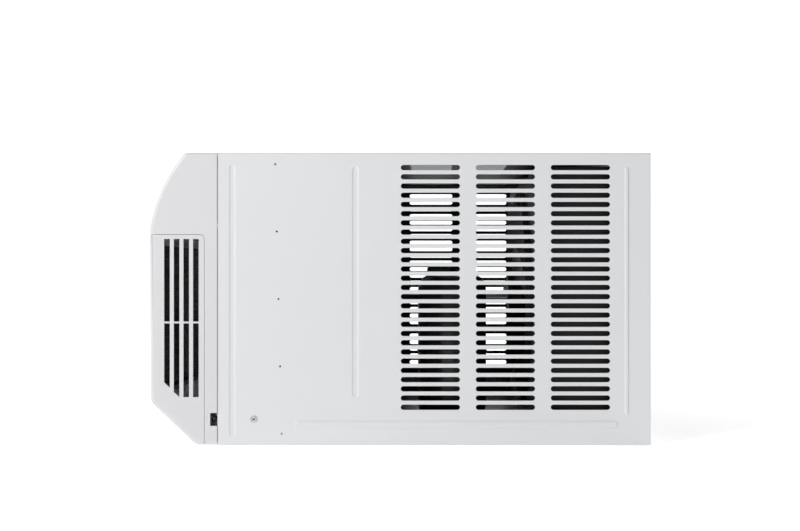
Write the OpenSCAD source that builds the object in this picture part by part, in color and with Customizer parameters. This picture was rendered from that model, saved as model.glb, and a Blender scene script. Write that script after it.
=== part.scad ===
// Window air conditioner with a slide-out chassis.
// Frame: X to the right seen from the room, -Y towards the room, +Z up.
// Origin: centre of the footprint, on the surface that the cabinet stands on.

/* [Unit] */
// Overall width
unit_w = 660; // [640:2:680]
// Overall height
unit_h = 450; // [446:1:456]
// Overall depth, fascia front to rear edge
unit_d = 772; // [764:2:800]

/* [Cabinet] */
// Thickness of the cabinet sheet
sheet_t = 1.2; // [1:0.1:1.4]
// How far the raised beads stand out of the side panels
bead_h = 1.5; // [1.2:0.1:1.8]
// How far the side panels wrap over the top
wrap_w = 14; // [10:1:20]
// Height of the side flanges of the floor
floor_flange_h = 50; // [45:1:56]

/* [Side louvres] */
// Length of one louvre slot
slot_len = 91; // [70:1:100]
// Height of one louvre slot
slot_h = 8; // [6:0.5:9]
// Height from one slot row to the next
slot_pitch = 14.18; // [12:0.02:14.2]
// Number of slot rows
slot_rows = 27; // [20:1:27]
// Number of slot columns
slot_cols = 3; // [2:1:3]
// Distance from one slot column to the next
slot_col_pitch = 115.4; // [104:0.2:116]

/* [Fascia] */
// Depth of the whole fascia
fascia_d = 104.6; // [100:0.2:110]
// Depth of the intake grille
grille_d = 85.4; // [80:0.2:88]
// Height of the seam above the intake grille
grille_h = 324; // [316:1:330]
// Wall of the mouldings
wall = 2.5; // [2:0.1:3]
// Radius of the curved upper front
brow_r = 246; // [240:1:260]

/* [Air outlet] */
// Number of horizontal vanes
h_vane_count = 3; // [3:1:3]
// Number of vertical vanes
v_vane_count = 4; // [4:1:4]
// Chord of a horizontal vane
h_vane_chord = 24; // [18:1:24]
// Chord of a vertical vane
v_vane_chord = 40; // [30:1:44]

/* [Controls] */
// Number of push buttons
button_count = 5; // [5:1:5]
// Radius of a push button
button_r = 7; // [5:0.5:8]
// How far a push button travels
button_travel = 1.2; // [1:0.1:1.5]

/* [Fan and motor] */
// Height of the motor axis
axis_z = 219; // [215:1:222]
// Radius of the motor shaft
shaft_r = 6; // [5:0.5:7]
// Outer radius of the outdoor fan's ring
fan_r = 186; // [176:1:188]
// Number of outdoor fan blades
fan_blades = 5; // [4:1:6]
// Outer radius of the blower wheel
blower_r = 112; // [104:1:113]
// Number of blower blades
blower_blades = 32; // [24:2:36]

/* [Hidden] */
$fn = 48;
gap = 0.3;
run_clear = 0.06;

y_front = -unit_d / 2;
y_rear = unit_d / 2;
seam = 0.6;
y_cab = y_front + fascia_d + seam;
y_strip = y_front + grille_d;
x_side = unit_w / 2;
x_wall = x_side - bead_h;
x_in = x_wall - sheet_t;

// Side profile of the fascia, as [y, z]
brow_top = [y_front + 54.2, unit_h];
brow_low = [y_front, unit_h - 119];
chin_top = [y_front + 1.4, 67];
chin_low = [y_front + 69.5, 0.8];
chin_r = 14;

// Louvre field of the side panels
slot_y0 = 1.2;
slot_z0 = 58.1;

// Slot field of the intake grille's sides
grille_slots = 4;
grille_slot_w = 8.8;
grille_slot_pitch = 14.8;
grille_slot_y = y_front + 27.8;
grille_slot_z = [73.7, grille_h - 7];
crossbar_z = 188.6;
crossbar_t = 2.8;

// Pressed grooves and upright bead, as [y, low z, high z, width]
grooves = [[-256.5, 12, 432, 12], [-67, 72.7, 429, 11.5]];
groove_t = 0.8;
rear_bead = [348.7, 46, 427.5, 7];
// Lengthwise bead, as [middle y, z, length, width]
low_bead = [86.8, 32, 499, 12];

// Line of holes for the side curtain frame, top and bottom
curtain_top = [-192, 432];
curtain_low = [-182, 17.4];
curtain_holes = 5;
curtain_r = 1.5;

// Screw that holds the cabinet, and the holes for the window-rail
screw_at = [-224.7, 40];
screw_head_r = 5.9;
screw_r = 2;
sash_y = -245;
sash_pitch = 160;
sash_r = 2;

// Intake grille hinge
hinge_y = y_front + 4;
hinge_z = grille_h - 4.4;
hinge_pin_r = 1.6;
hinge_x = 250;
hinge_ear_w = 5;

// Outlet and control openings in the brow
outlet_x = [-300, 112];
panel_x = [142, 300];
brow_z = [344, 436];
frame_t = 24;
frame_lip = 6;
pivot_r = 1.5;
peg_r = 1.2;
h_link_back = 8;
v_vane_y = y_front + 90;
v_vane_z = [350, 430];
v_link_back = 12;
v_link_z = [345, 347];
v_vane_x = [-247, 57];

// Push buttons and window on the control panel
button_x = [162, 282];
button_z = 372;
lens_x = [190, 254];
lens_z = [394, 416];

// Fresh-air vent
vent_rod_x = 126;
vent_z = 360;
vent_rod_r = 2.5;
vent_door_x = [137, 223];
vent_door_z = [341, 409];
vent_hinge = [133.5, -37.8];

// Chassis
pan_x = 316;
pan_y = [y_front + 102.8, 374];
pan_z = 5.9;
pan_t = 1.5;
pan_floor = pan_z + pan_t;
pan_wall_h = 30;
bulkhead_y = -42;
bulkhead_x = 312;

// Coils, as [low corner, high corner] of the fin packs
evap = [[-286, -272, 48], [286, -222, 318]];
cond = [[-290, 302, 14], [290, 362, 424]];
plate_t = 1.5;

// Duct above the scroll housing
duct_x = [-300, 110];
duct_y = [y_front + 64, -98];
duct_z = [340, 438];
duct_t = 3;
scroll_y = [-212, -98];
scroll_t = 3;
scroll_r0 = blower_r + 10;
scroll_grow = 38;
scroll_a0 = 60;

// Motor, compressor and shroud
motor_y = [40, 120];
motor_r = 60;
motor_boss = 8;
shroud_y = [214, 338];
pipe_y = 348;
shroud_x = 308;
shroud_z = [9.5, 430];
comp_at = [185, 82.5];
comp_r = 58;
comp_z = [27, 262];
foot_r = 76;
acc_at = [98, 60];
acc_top = 205;
suction_z = 221;

// ---- Shared shapes ----

// Box between two opposite corners
module box(low, high) {
    translate(low) cube(high - low);
}

// Outline given as [y, z], extruded along X
module x_prism(points, x) {
    translate([x[0], 0, 0]) rotate([90, 0, 90]) linear_extrude(x[1] - x[0]) polygon(points);
}

// Outline given as [x, z], extruded along Y
module y_prism(points, y) {
    translate([0, y[1], 0]) rotate([90, 0, 0]) linear_extrude(y[1] - y[0]) polygon(points);
}

module x_rod(y, z, x, r) {
    translate([x[0], y, z]) rotate([0, 90, 0]) cylinder(h = x[1] - x[0], r = r);
}

module y_rod(x, z, y, r) {
    translate([x, y[1], z]) rotate([90, 0, 0]) cylinder(h = y[1] - y[0], r = r);
}

module z_rod(x, y, z, r) {
    translate([x, y, z[0]]) cylinder(h = z[1] - z[0], r = r);
}

// Ring round the motor axis
module y_ring(y, r_in, r_out) {
    difference() {
        y_rod(0, axis_z, y, r_out);
        y_rod(0, axis_z, [y[0] - 1, y[1] + 1], r_in);
    }
}

// Its child, and the mirror image of it on the other side
module both_sides() {
    children();
    mirror([1, 0, 0]) children();
}

function arc(centre, r, a0, a1, steps) =
    [for (i = [0 : steps]) let (a = a0 + (a1 - a0) * i / steps) centre + r * [cos(a), sin(a)]];

// Long hole with round ends, centred on [a, b] and long in a
function long_hole(a, b, len, high) = concat(
    arc([a + len / 2 - high / 2, b], high / 2, -90, 90, 6),
    arc([a - len / 2 + high / 2, b], high / 2, 90, 270, 6));

// Straight tubes between points, with a ball in each corner
module tube(points, r) {
    for (i = [0 : len(points) - 2]) {
        step = points[i + 1] - points[i];
        reach = norm(step);
        translate(points[i])
            rotate([0, acos(step[2] / reach), atan2(step[1], step[0])])
            cylinder(h = reach, r = r, $fn = 24);
    }
    for (i = [1 : len(points) - 2]) translate(points[i]) sphere(r * 1.08, $fn = 24);
}

// ---- Curved brow of the fascia ----

brow_chord = brow_low - brow_top;
brow_half = norm(brow_chord) / 2;
brow_sag = sqrt(brow_r * brow_r - brow_half * brow_half);
brow_c = (brow_top + brow_low) / 2
    + brow_sag * [-brow_chord[1], brow_chord[0]] / norm(brow_chord);
brow_a0 = atan2(brow_top[1] - brow_c[1], brow_top[0] - brow_c[0]);
brow_a1 = atan2(brow_low[1] - brow_c[1], brow_low[0] - brow_c[0]);

// Point of the brow's surface at height z, moved in by depth
function brow_angle(z) = 180 - asin((z - brow_c[1]) / brow_r);
function brow_at(angle, depth) = brow_c + (brow_r - depth) * [cos(angle), sin(angle)];

// Band under the brow's surface, as thick as depth
module brow_band(x, z, depth) {
    intersection() {
        x_prism(concat(arc(brow_c, brow_r, brow_a0, brow_a1, 8),
            arc(brow_c, brow_r - depth, brow_a1, brow_a0, 8)), x);
        box([x[0], y_front - 1, z[0]], [x[1], y_strip + 40, z[1]]);
    }
}

// Rounded corner at b between a and c, its wall moved in by t
function rounded(a, b, c, t) = let (
    u = (a - b) / norm(a - b),
    v = (c - b) / norm(c - b),
    half = acos(u * v) / 2,
    centre = b + (u + v) / norm(u + v) * chin_r / sin(half),
    start = b + u * chin_r / tan(half) - centre,
    from = atan2(start[1], start[0]))
    arc(centre, chin_r - t, from, from + 180 - 2 * half, 4);

// Chin of the fascia, from the front to the floor
function chin(t) = concat(rounded(brow_low, chin_top, chin_low, t),
    rounded(chin_top, chin_low, [y_strip, chin_low[1]], t));

// Whole side outline of the fascia, its walls moved in by t
function fascia_outline(t, y_back, z_floor) = concat(
    [[y_back, unit_h - t]],
    arc(brow_c, brow_r - t, atan2(unit_h - t - brow_c[1],
        -sqrt(pow(brow_r - t, 2) - pow(unit_h - t - brow_c[1], 2))), brow_a1, 8),
    chin(t), [[y_back, z_floor]]);

// ---- Cabinet ----

module right_panel() {
    hole_y = slot_y0 + slot_len / 2;
    difference() {
        union() {
            box([x_in, y_cab, 0], [x_wall, y_rear, unit_h]);
            box([x_wall - wrap_w, y_cab, unit_h - sheet_t], [x_wall, y_rear, unit_h]);
            // raised beads
            x_prism(long_hole_upright(rear_bead[0], rear_bead[1], rear_bead[2], rear_bead[3]),
                [x_wall - 0.2, x_side]);
            x_prism(long_hole(low_bead[0], low_bead[1], low_bead[2], low_bead[3]),
                [x_wall - 0.2, x_side]);
            // back of the pressed grooves
            for (g = grooves) box([x_in - groove_t, g[0] - g[3] / 2, g[1] + 2],
                [x_in + 0.2, g[0] + g[3] / 2, g[2] - 2]);
        }
        // pressed grooves
        for (g = grooves) x_prism(long_hole_upright(g[0], g[1], g[2], g[3]), [x_wall - groove_t, x_side]);
        for (c = [0 : slot_cols - 1], r = [0 : slot_rows - 1])
            x_prism(long_hole(hole_y + c * slot_col_pitch, slot_z0 + r * slot_pitch,
                slot_len, slot_h), [x_in - 1, x_wall + 1]);
        for (i = [0 : curtain_holes - 1]) {
            at = curtain_top + (curtain_low - curtain_top) * i / (curtain_holes - 1);
            x_rod(at[0], at[1], [x_in - 1, x_side], curtain_r);
        }
        x_rod(screw_at[0], screw_at[1], [x_in - 1, x_side], screw_r + 0.2);
    }
}

function long_hole_upright(y, z0, z1, wide) = concat(
    arc([y, z1 - wide / 2], wide / 2, 0, 180, 6),
    arc([y, z0 + wide / 2], wide / 2, 180, 360, 6));

module side_panel_right() {
    color("gainsboro") right_panel();
}

module side_panel_left() {
    color("gainsboro") mirror([1, 0, 0]) right_panel();
}

module top_panel() {
    edge = x_wall - wrap_w - gap;
    group_y = [47.3, 141];
    top_slots = 21;
    top_slot_x = 100;
    color("whitesmoke") difference() {
        union() {
            box([-edge, y_cab, unit_h - sheet_t], [edge, y_rear, unit_h]);
            both_sides() box([edge - 16, y_cab, unit_h - 2.4 - gap],
                [x_in - gap, y_rear - 4, unit_h - sheet_t - 0.05]);
            both_sides() box([edge - 16, y_cab, unit_h - 2.4], [edge - 4, y_rear - 4, unit_h - sheet_t]);
        }
        for (y = group_y, i = [-(top_slots - 1) / 2 : (top_slots - 1) / 2])
            box([top_slot_x + i * slot_pitch - slot_h / 2, y - 36.8, unit_h - 4],
                [top_slot_x + i * slot_pitch + slot_h / 2, y + 36.8, unit_h + 1]);
        for (i = [-1.5 : 1.5]) z_rod(i * sash_pitch, sash_y, [unit_h - 4, unit_h + 1], sash_r);
    }
}

module sleeve_floor() {
    floor_x = x_in - groove_t - gap;
    color("lightgray") difference() {
        union() {
            box([-floor_x, y_cab, 0], [floor_x, y_rear - 4, sheet_t]);
            both_sides() box([floor_x - sheet_t, y_cab, 0], [floor_x, y_rear - 4, floor_flange_h]);
        }
        x_rod(screw_at[0], screw_at[1], [-x_side, x_side], screw_r + 0.2);
    }
}

module rear_frame() {
    color("gainsboro") difference() {
        box([1 - x_in, y_rear - bead_h - sheet_t, sheet_t], [x_in - 1, y_rear - bead_h, unit_h - 3]);
        box([-296, y_rear - 9, 34], [296, y_rear + 1, unit_h - 26]);
    }
}

module slide_rails() {
    color("ivory") both_sides() box([240, y_cab + 6, sheet_t], [262, y_rear - 8, pan_z - 0.2]);
}

module cabinet_screws() {
    color("silver") {
        both_sides() {
            x_rod(screw_at[0], screw_at[1], [x_wall, x_side], screw_head_r);
            x_rod(screw_at[0], screw_at[1], [x_in - 6, x_wall], screw_r);
            for (z = [60, 230, 400]) y_rod(311, z, [y_rear - bead_h, y_rear], 4.5);
        }
    }
}

// ---- Chassis ----

module base_pan() {
    color("darkgray") difference() {
        box([-pan_x, pan_y[0], pan_z], [pan_x, pan_y[1], pan_wall_h]);
        box([pan_t - pan_x, pan_y[0] + pan_t, pan_floor],
            [pan_x - pan_t, pan_y[1] - pan_t, pan_wall_h + 1]);
    }
}

module bulkhead() {
    color("lightgray") difference() {
        union() {
            box([-bulkhead_x, bulkhead_y, pan_floor], [bulkhead_x, bulkhead_y + sheet_t, 430]);
            box([-bulkhead_x, bulkhead_y - 12, 430 - sheet_t], [bulkhead_x, bulkhead_y, 430]);
            for (z = [vent_door_z[0] + 8, vent_door_z[1] - 12]) difference() {
                box([vent_hinge[0] - 3, bulkhead_y, z], [vent_hinge[0] + 3, vent_hinge[1] + 3, z + 4]);
                z_rod(vent_hinge[0], vent_hinge[1], [z - 1, z + 5], pivot_r + run_clear);
            }
        }
        y_rod(0, axis_z, [bulkhead_y - 1, bulkhead_y + 3], 20);
        y_rod(acc_at[0], suction_z, [bulkhead_y - 1, bulkhead_y + 3], 8);
        box([vent_door_x[0] + 7, bulkhead_y - 1, vent_door_z[0] + 6],
            [vent_door_x[1] - 6, bulkhead_y + 3, vent_door_z[1] - 6]);
    }
}

module drain_trough() {
    color("white") difference() {
        box([-300, -276, pan_floor], [300, -217, 46]);
        box([-296, -272, 20], [296, -221, 47]);
    }
}

// Plates at both ends of a fin pack
module coil_plates(pack) {
    both_sides() box([pack[1][0], pack[0][1] - 1.5, pack[0][2] - 2],
        [pack[1][0] + plate_t, pack[1][1] + 1.5, pack[1][2] + 2]);
}

// Return bends outside the end plates, from z0 up
module coil_bends(pack, z0, count) {
    pitch = 25.4;
    bend_r = 8.4;
    both_sides() for (row = [0, 1], i = [0 : count - 1])
        translate([pack[1][0] + plate_t, pack[0][1] + 15 + row * 25, z0 + i * pitch])
        rotate([90, 0, 0])
        rotate_extrude(angle = 180, start = -90) translate([bend_r, 0]) circle(3.8, $fn = 20);
}

module evaporator_fins() {
    color("silver") box(evap[0], evap[1]);
}

module evaporator_plates() {
    color("gray") coil_plates(evap);
}

module evaporator_bends() {
    color("peru") coil_bends(evap, 88, 8);
}

module condenser_fins() {
    color("silver") box(cond[0], cond[1]);
}

module condenser_plates() {
    color("gray") coil_plates(cond);
}

module condenser_bends() {
    color("peru") coil_bends(cond, 90, 12);
}

module inlet_orifice() {
    color("dimgray") difference() {
        union() {
            box([-298, -216, 47], [298, -212.6, 337]);
            y_rod(0, axis_z, [-216, -207.5], blower_r - 13);
        }
        y_rod(0, axis_z, [-217, -206], blower_r - 16);
    }
}

// Spiral of the blower housing, grown by t, open at the top
function scroll_outline(t, top) = concat(
    [for (i = [0 : 24]) let (a = scroll_a0 - 240 * i / 24, r = scroll_r0 + scroll_grow * i / 24 + t)
        [r * cos(a), axis_z + r * sin(a)]],
    [[-scroll_r0 - scroll_grow - t, top], [(scroll_r0 + t) * cos(scroll_a0), top]]);

module scroll_housing() {
    color("whitesmoke") difference() {
        y_prism(scroll_outline(scroll_t, duct_z[0]), scroll_y);
        y_prism(scroll_outline(0, duct_z[0] + 1), [scroll_y[0] - 1, scroll_y[1] - scroll_t]);
        y_rod(0, axis_z, [scroll_y[0], scroll_y[1] + 1], 14);
    }
}

module discharge_duct() {
    in_x = [duct_x[0] + 4, duct_x[1] - 4];
    throat_x = [-scroll_r0 - scroll_grow, scroll_r0 * cos(scroll_a0)];
    color("whitesmoke") difference() {
        box([duct_x[0], duct_y[0], duct_z[0]], [duct_x[1], duct_y[1], duct_z[1]]);
        box([in_x[0], duct_y[0] - 1, duct_z[0] + duct_t],
            [in_x[1], duct_y[1] - duct_t, duct_z[1] - duct_t]);
        box([throat_x[0], scroll_y[0], duct_z[0] - 1],
            [throat_x[1], scroll_y[1] - scroll_t, duct_z[0] + duct_t + 1]);
        for (i = [0 : v_vane_count - 1])
            z_rod(v_vane_at(i), v_vane_y, [duct_z[0] - 1, duct_z[1] + 1], pivot_r + run_clear);
    }
}

module motor_housing() {
    end = [motor_y[0] - motor_boss, motor_y[1] + motor_boss];
    color("dimgray") difference() {
        union() {
            y_rod(0, axis_z, motor_y, motor_r);
            y_rod(0, axis_z, end, 30);
        }
        y_rod(0, axis_z, [motor_y[0] + 4, motor_y[1] - 4], motor_r - 4);
        y_rod(0, axis_z, [end[0] - 1, end[1] + 1], shaft_r + 1);
        y_rod(0, axis_z, [end[0] + 2, end[1] - 2], 14);
    }
}

module motor_stator() {
    color("peru") y_ring([56, 104], 34, motor_r - 4);
}

module motor_bearings() {
    color("silver") {
        y_ring([motor_y[0] - motor_boss + 2, motor_y[0] + 3], shaft_r + run_clear, 14);
        y_ring([motor_y[1] - 3, motor_y[1] + motor_boss - 2], shaft_r + run_clear, 14);
    }
}

module motor_bracket() {
    color("gray") difference() {
        box([-50, 55, pan_floor], [50, 105, axis_z - 35]);
        box([-46, 50, pan_floor + 3], [46, 110, axis_z - 66]);
        y_rod(0, axis_z, [50, 110], motor_r);
    }
}

module condenser_shroud() {
    t = 2;
    color("dimgray") difference() {
        union() {
            box([-shroud_x, shroud_y[0], shroud_z[0]], [shroud_x, shroud_y[1], shroud_z[1]]);
            y_rod(0, axis_z, [204, shroud_y[0] + 1], fan_r + 8.5);
        }
        box([t - shroud_x, shroud_y[0] + t, shroud_z[0] + t],
            [shroud_x - t, shroud_y[1] + 1, shroud_z[1] - t]);
        y_rod(0, axis_z, [200, shroud_y[0] + 5], fan_r + 6);
    }
}

module compressor_shell() {
    color("dimgray") translate([comp_at[0], comp_at[1], 0]) rotate_extrude() polygon(concat(
        [[0, comp_z[0]], [comp_r - 16, comp_z[0]]],
        arc([comp_r - 16, comp_z[0] + 16], 16, -60, 0, 3),
        arc([comp_r - 26, comp_z[1] - 26], 26, 0, 75, 4),
        [[0, comp_z[1]]]));
}

module compressor_feet() {
    color("dimgray") translate([comp_at[0], comp_at[1], comp_z[0] - 3]) difference() {
        union() {
            cylinder(h = 3, r = 46);
            for (i = [0 : 2]) rotate([0, 0, 30 + 120 * i]) {
                translate([0, -14, 0]) cube([foot_r, 28, 3]);
                translate([foot_r, 0, 0]) cylinder(h = 3, r = 14.2);
            }
        }
        for (i = [0 : 2]) rotate([0, 0, 30 + 120 * i]) translate([foot_r, 0, -1]) cylinder(h = 5, r = 6);
    }
}

module compressor_grommets() {
    color("black") translate([comp_at[0], comp_at[1], pan_floor])
        for (i = [0 : 2]) rotate([0, 0, 30 + 120 * i]) translate([foot_r, 0, 0]) difference() {
            union() {
                cylinder(h = comp_z[0] - 3 - pan_floor, r = 10);
                cylinder(h = comp_z[0] + 1 - pan_floor, r = 6);
                translate([0, 0, comp_z[0] - pan_floor]) cylinder(h = 4, r = 9);
            }
            translate([0, 0, -1]) cylinder(h = 40, r = 3.5);
        }
}

module accumulator() {
    low = 70;
    color("dimgray") translate([acc_at[0], acc_at[1], 0]) rotate_extrude() polygon(
        [[0, low], [6, low], [24, low + 18], [24, acc_top - 18], [6, acc_top], [0, acc_top]]);
}

module refrigerant_lines() {
    roof = 437;
    coil_x = cond[1][0] + plate_t;
    evap_x = evap[1][0] + plate_t;
    evap_y = (evap[0][1] + evap[1][1]) / 2;
    riser_y = 104;
    // discharge line, compressor to condenser
    color("peru") tube([[comp_at[0], comp_at[1], comp_z[1]], [comp_at[0], comp_at[1], comp_z[1] + 14],
        [comp_at[0], riser_y, comp_z[1] + 14], [comp_at[0], riser_y, roof], [299, riser_y, roof],
        [299, pipe_y, roof], [299, pipe_y, 408], [coil_x, pipe_y, 408]], 4);
    // suction line, accumulator to evaporator
    color("peru") tube([[acc_at[0], acc_at[1], acc_top], [acc_at[0], acc_at[1], suction_z],
        [acc_at[0], -70, suction_z], [306, -70, suction_z], [306, evap_y, suction_z],
        [306, evap_y, 304], [evap_x, evap_y, 304]], 4.8);
    // liquid line, condenser to evaporator
    color("peru") tube([[-coil_x, pipe_y, 58], [-318, pipe_y, 58], [-318, evap_y, 58],
        [-evap_x, evap_y, 58]], 3.2);
}

module control_box() {
    color("lightgray") difference() {
        box([138, -300, 346], [300, -120, 436]);
        box([138 + sheet_t, -301, 346 + sheet_t], [300 - sheet_t, -120 - sheet_t, 436 - sheet_t]);
    }
}

module circuit_board() {
    color("seagreen") {
        box([146, -285, 354], [292, -140, 355.6]);
        box([156, -270, 355.6], [186, -235, 384]);
        z_rod(262, -180, [355.6, 418], 20);
        for (x = [166 : 22 : 210]) z_rod(x, -190, [355.6, 380], 8);
        for (x = [205, 240]) box([x, -272, 355.6], [x + 24, -240, 372]);
    }
}

module cord_gland() {
    color("black") difference() {
        x_rod(-286.2, 38.5, [319, x_side - 1], 5);
        x_rod(-286.2, 38.5, [318, x_side], 3.6);
    }
}

// ---- Fascia ----

module fascia_shell() {
    back = y_front + fascia_d;
    filter_z = [66, 319];
    color("whitesmoke") difference() {
        union() {
            difference() {
                x_prism(fascia_outline(0, back, 0.6), [-x_side, x_side]);
                x_prism(fascia_outline(wall, back + 1, 0.6 + wall), [wall - x_side, x_side - wall]);
            }
            // shelf above the intake
            box([wall - x_side, y_front + 3, grille_h + 0.4],
                [x_side - wall, back - 2, grille_h + 0.4 + wall]);
            // air frame behind the filter, and the filter's guides
            difference() {
                box([wall - x_side, back - 4, 0.6], [x_side - wall, back - 2, grille_h + 2]);
                box([-292, back - 5, filter_z[0]], [292, back, filter_z[1]]);
            }
            box([wall - x_side, back - 15, filter_z[0] - 3], [x_side - wall, back - 3, filter_z[0]]);
            box([wall - x_side, back - 15, filter_z[1]], [x_side - wall, back - 3, filter_z[1] + 3]);
        }
        // room for the intake grille
        x_prism(grille_outline(-seam, grille_h), [-x_side - 1, x_side + 1]);
        box([-x_side - 1, y_front - 1, hinge_z], [x_side + 1, hinge_y, grille_h - 0.4 + seam]);
        // openings in the brow
        box([outlet_x[0] - gap, y_front - 1, brow_z[0] - gap],
            [outlet_x[1] + gap, y_strip, brow_z[1] + gap]);
        box([panel_x[0] - gap, y_front - 1, brow_z[0] - gap],
            [panel_x[1] + gap, y_strip, brow_z[1] + gap]);
        y_rod(vent_rod_x, vent_z, [y_front - 1, y_strip], vent_rod_r + 0.5);
        // slot that the filter slides out of
        box([-x_side - 1, back - 14, filter_z[0]], [wall - x_side + 1, back - 5, filter_z[1]]);
        // cable notch
        box([x_side - 14, -291.8, 29.5], [x_side + 1, -280, 49.5]);
    }
    // hinge ears
    color("whitesmoke") both_sides() difference() {
        box([hinge_x - hinge_ear_w / 2, hinge_y - 3.4, hinge_z - 3.4],
            [hinge_x + hinge_ear_w / 2, hinge_y + 3.4, grille_h + 1]);
        x_rod(hinge_y, hinge_z, [hinge_x - 9, hinge_x + 9], hinge_pin_r + run_clear);
    }
}

module discharge_frame() {
    color("whitesmoke") difference() {
        brow_band(outlet_x, brow_z, frame_t);
        box([outlet_x[0] + frame_lip, y_front - 1, brow_z[0] + frame_lip],
            [outlet_x[1] - frame_lip, y_strip + 50, brow_z[1] - frame_lip]);
        for (i = [0 : h_vane_count - 1]) {
            at = h_pivot(i);
            x_rod(at[0], at[1], [outlet_x[0] + 2, outlet_x[1] - 2], pivot_r + run_clear);
        }
        // room for the duct
        box([outlet_x[0] - 1, duct_y[0] - gap, brow_z[0] - 1],
            [outlet_x[1] + 1, y_strip + 50, brow_z[1] + 1]);
    }
}

// Its children, turned so that +Z is the outward normal of the brow, at x and height z
module on_brow(x, z) {
    a = brow_angle(z);
    at = brow_at(a, 0);
    translate([x, at[0], at[1]]) rotate([a - 90, 0, 0]) children();
}

function button_at(i) = button_x[0] + (button_x[1] - button_x[0]) * i / (button_count - 1);

module control_panel() {
    color("lightgray") difference() {
        brow_band(panel_x, brow_z, wall);
        for (i = [0 : button_count - 1])
            on_brow(button_at(i), button_z) translate([0, 0, -8]) cylinder(h = 16, r = button_r + 0.25);
        box([lens_x[0], y_front - 1, lens_z[0]], [lens_x[1], y_strip, lens_z[1]]);
    }
}

module display_lens() {
    color("black") brow_band([lens_x[0] + 0.2, lens_x[1] - 0.2], [lens_z[0] + 0.2, lens_z[1] - 0.2],
        wall);
}

module button(i) {
    color("white") on_brow(button_at(i), button_z) {
        translate([0, 0, -5]) cylinder(h = 5 + button_travel, r = button_r);
        translate([0, 0, -5]) cylinder(h = 1.6, r = button_r + 1.5);
    }
}

// ---- Fan ----

module motor_shaft() {
    color("silver") y_rod(0, axis_z, [-200, 214], shaft_r);
}

module motor_rotor() {
    color("silver") y_ring([56, 104], shaft_r, 33.4);
}

module blower_wheel() {
    y = [-204.5, -110];
    color("dimgray") {
        difference() {
            union() {
                y_rod(0, axis_z, [y[1] - 2.5, y[1]], blower_r);
                y_rod(0, axis_z, [y[1] - 34, y[1]], 17);
            }
            y_rod(0, axis_z, [y[0] - 1, y[1] + 1], shaft_r);
        }
        y_ring([y[0], y[0] + 4], blower_r - 14, blower_r);
        for (i = [0 : blower_blades - 1])
            translate([0, 0, axis_z]) rotate([0, 360 * i / blower_blades, 0])
            translate([blower_r - 13, y[0], -0.6]) cube([12, y[1] - y[0], 1.2]);
    }
}

module condenser_fan() {
    y = [188, 222];
    color("black") {
        difference() {
            y_rod(0, axis_z, y, 30);
            y_rod(0, axis_z, [y[0] - 1, y[1] + 1], shaft_r);
        }
        y_ring([207, 221], fan_r - 4, fan_r);
        intersection() {
            y_ring([y[0] - 1, y[1] + 1], 26, fan_r - 2);
            for (i = [0 : fan_blades - 1])
                translate([0, (y[0] + y[1]) / 2 + 1, axis_z]) rotate([0, 360 * i / fan_blades, 0])
                rotate([24, 0, 0]) translate([25, -1.2, -52]) cube([fan_r - 26, 2.4, 104]);
        }
    }
}

// ---- Intake grille and filter ----

// Side outline of the grille, its walls moved in by t
function grille_outline(t, z_top) = let (back = y_strip - 0.4, corner = 7) concat(
    arc([hinge_y, hinge_z], 4 - t, 90, 180, 4),
    chin(t), [[back - t, chin_low[1] + t]],
    arc([back - corner, z_top - 0.4 - corner], corner - t, 0, 90, 4));

function side_slot(i) = let (
    y0 = grille_slot_y + i * grille_slot_pitch - grille_slot_w / 2,
    y1 = y0 + grille_slot_w,
    cut = grille_slot_z[0] + max(0, 23 - (y0 - grille_slot_y) - 4.4),
    cut1 = max(grille_slot_z[0], cut - grille_slot_w))
    [[y0, grille_slot_z[1]], [y0, cut], [y1, cut1], [y1, grille_slot_z[1]]];

module intake_grille() {
    notch = hinge_ear_w / 2 + 0.6;
    color("whitesmoke") {
        difference() {
            union() {
                difference() {
                    x_prism(grille_outline(0, grille_h), [-x_side, x_side]);
                    x_prism([[y_front + wall + 0.6, hinge_z + 2], chin_top + [wall, 1],
                        chin_low + [1, wall], [y_strip + 2, chin_low[1] + wall],
                        [y_strip + 2, hinge_z + 2]], [wall - x_side, x_side - wall]);
                }
                both_sides() x_rod(hinge_y, hinge_z, [hinge_x - 14, hinge_x + 14], 3.8);
            }
            // window for the louvre insert
            box([-300, y_front - 1, 76], [300, y_front + 8, 308]);
            // side slots on both sides of a crossbar
            for (i = [0 : grille_slots - 1]) difference() {
                x_prism(side_slot(i), [-x_side - 1, x_side + 1]);
                box([-x_side - 2, y_front, crossbar_z - crossbar_t / 2],
                    [x_side + 2, y_strip, crossbar_z + crossbar_t / 2]);
            }
            // room for the hinge ears
            both_sides() box([hinge_x - notch, y_front - 1, hinge_z - 8],
                [hinge_x + notch, hinge_y + 9, grille_h + 1]);
        }
        both_sides() x_rod(hinge_y, hinge_z, [hinge_x - 8, hinge_x + 8], hinge_pin_r);
    }
}

module grille_louvers() {
    rows = 15;
    cols = 4;
    row_pitch = 14.8;
    col_pitch = 148;
    z_mid = 192;
    color("whitesmoke") difference() {
        box([-299.8, y_front + 2.2, 76.2], [299.8, y_front + 5.2, 307.8]);
        for (c = [0 : cols - 1], r = [0 : rows - 1])
            translate([(c - (cols - 1) / 2) * col_pitch, 0, z_mid + (r - (rows - 1) / 2) * row_pitch])
            box([-70, y_front, -4.2], [70, y_front + 10, 4.2]);
    }
}

filter_x = [-x_side + wall + gap, 292];
filter_y = [y_front + 92.4, y_front + 97.4];
filter_z = [68, 317];

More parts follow.
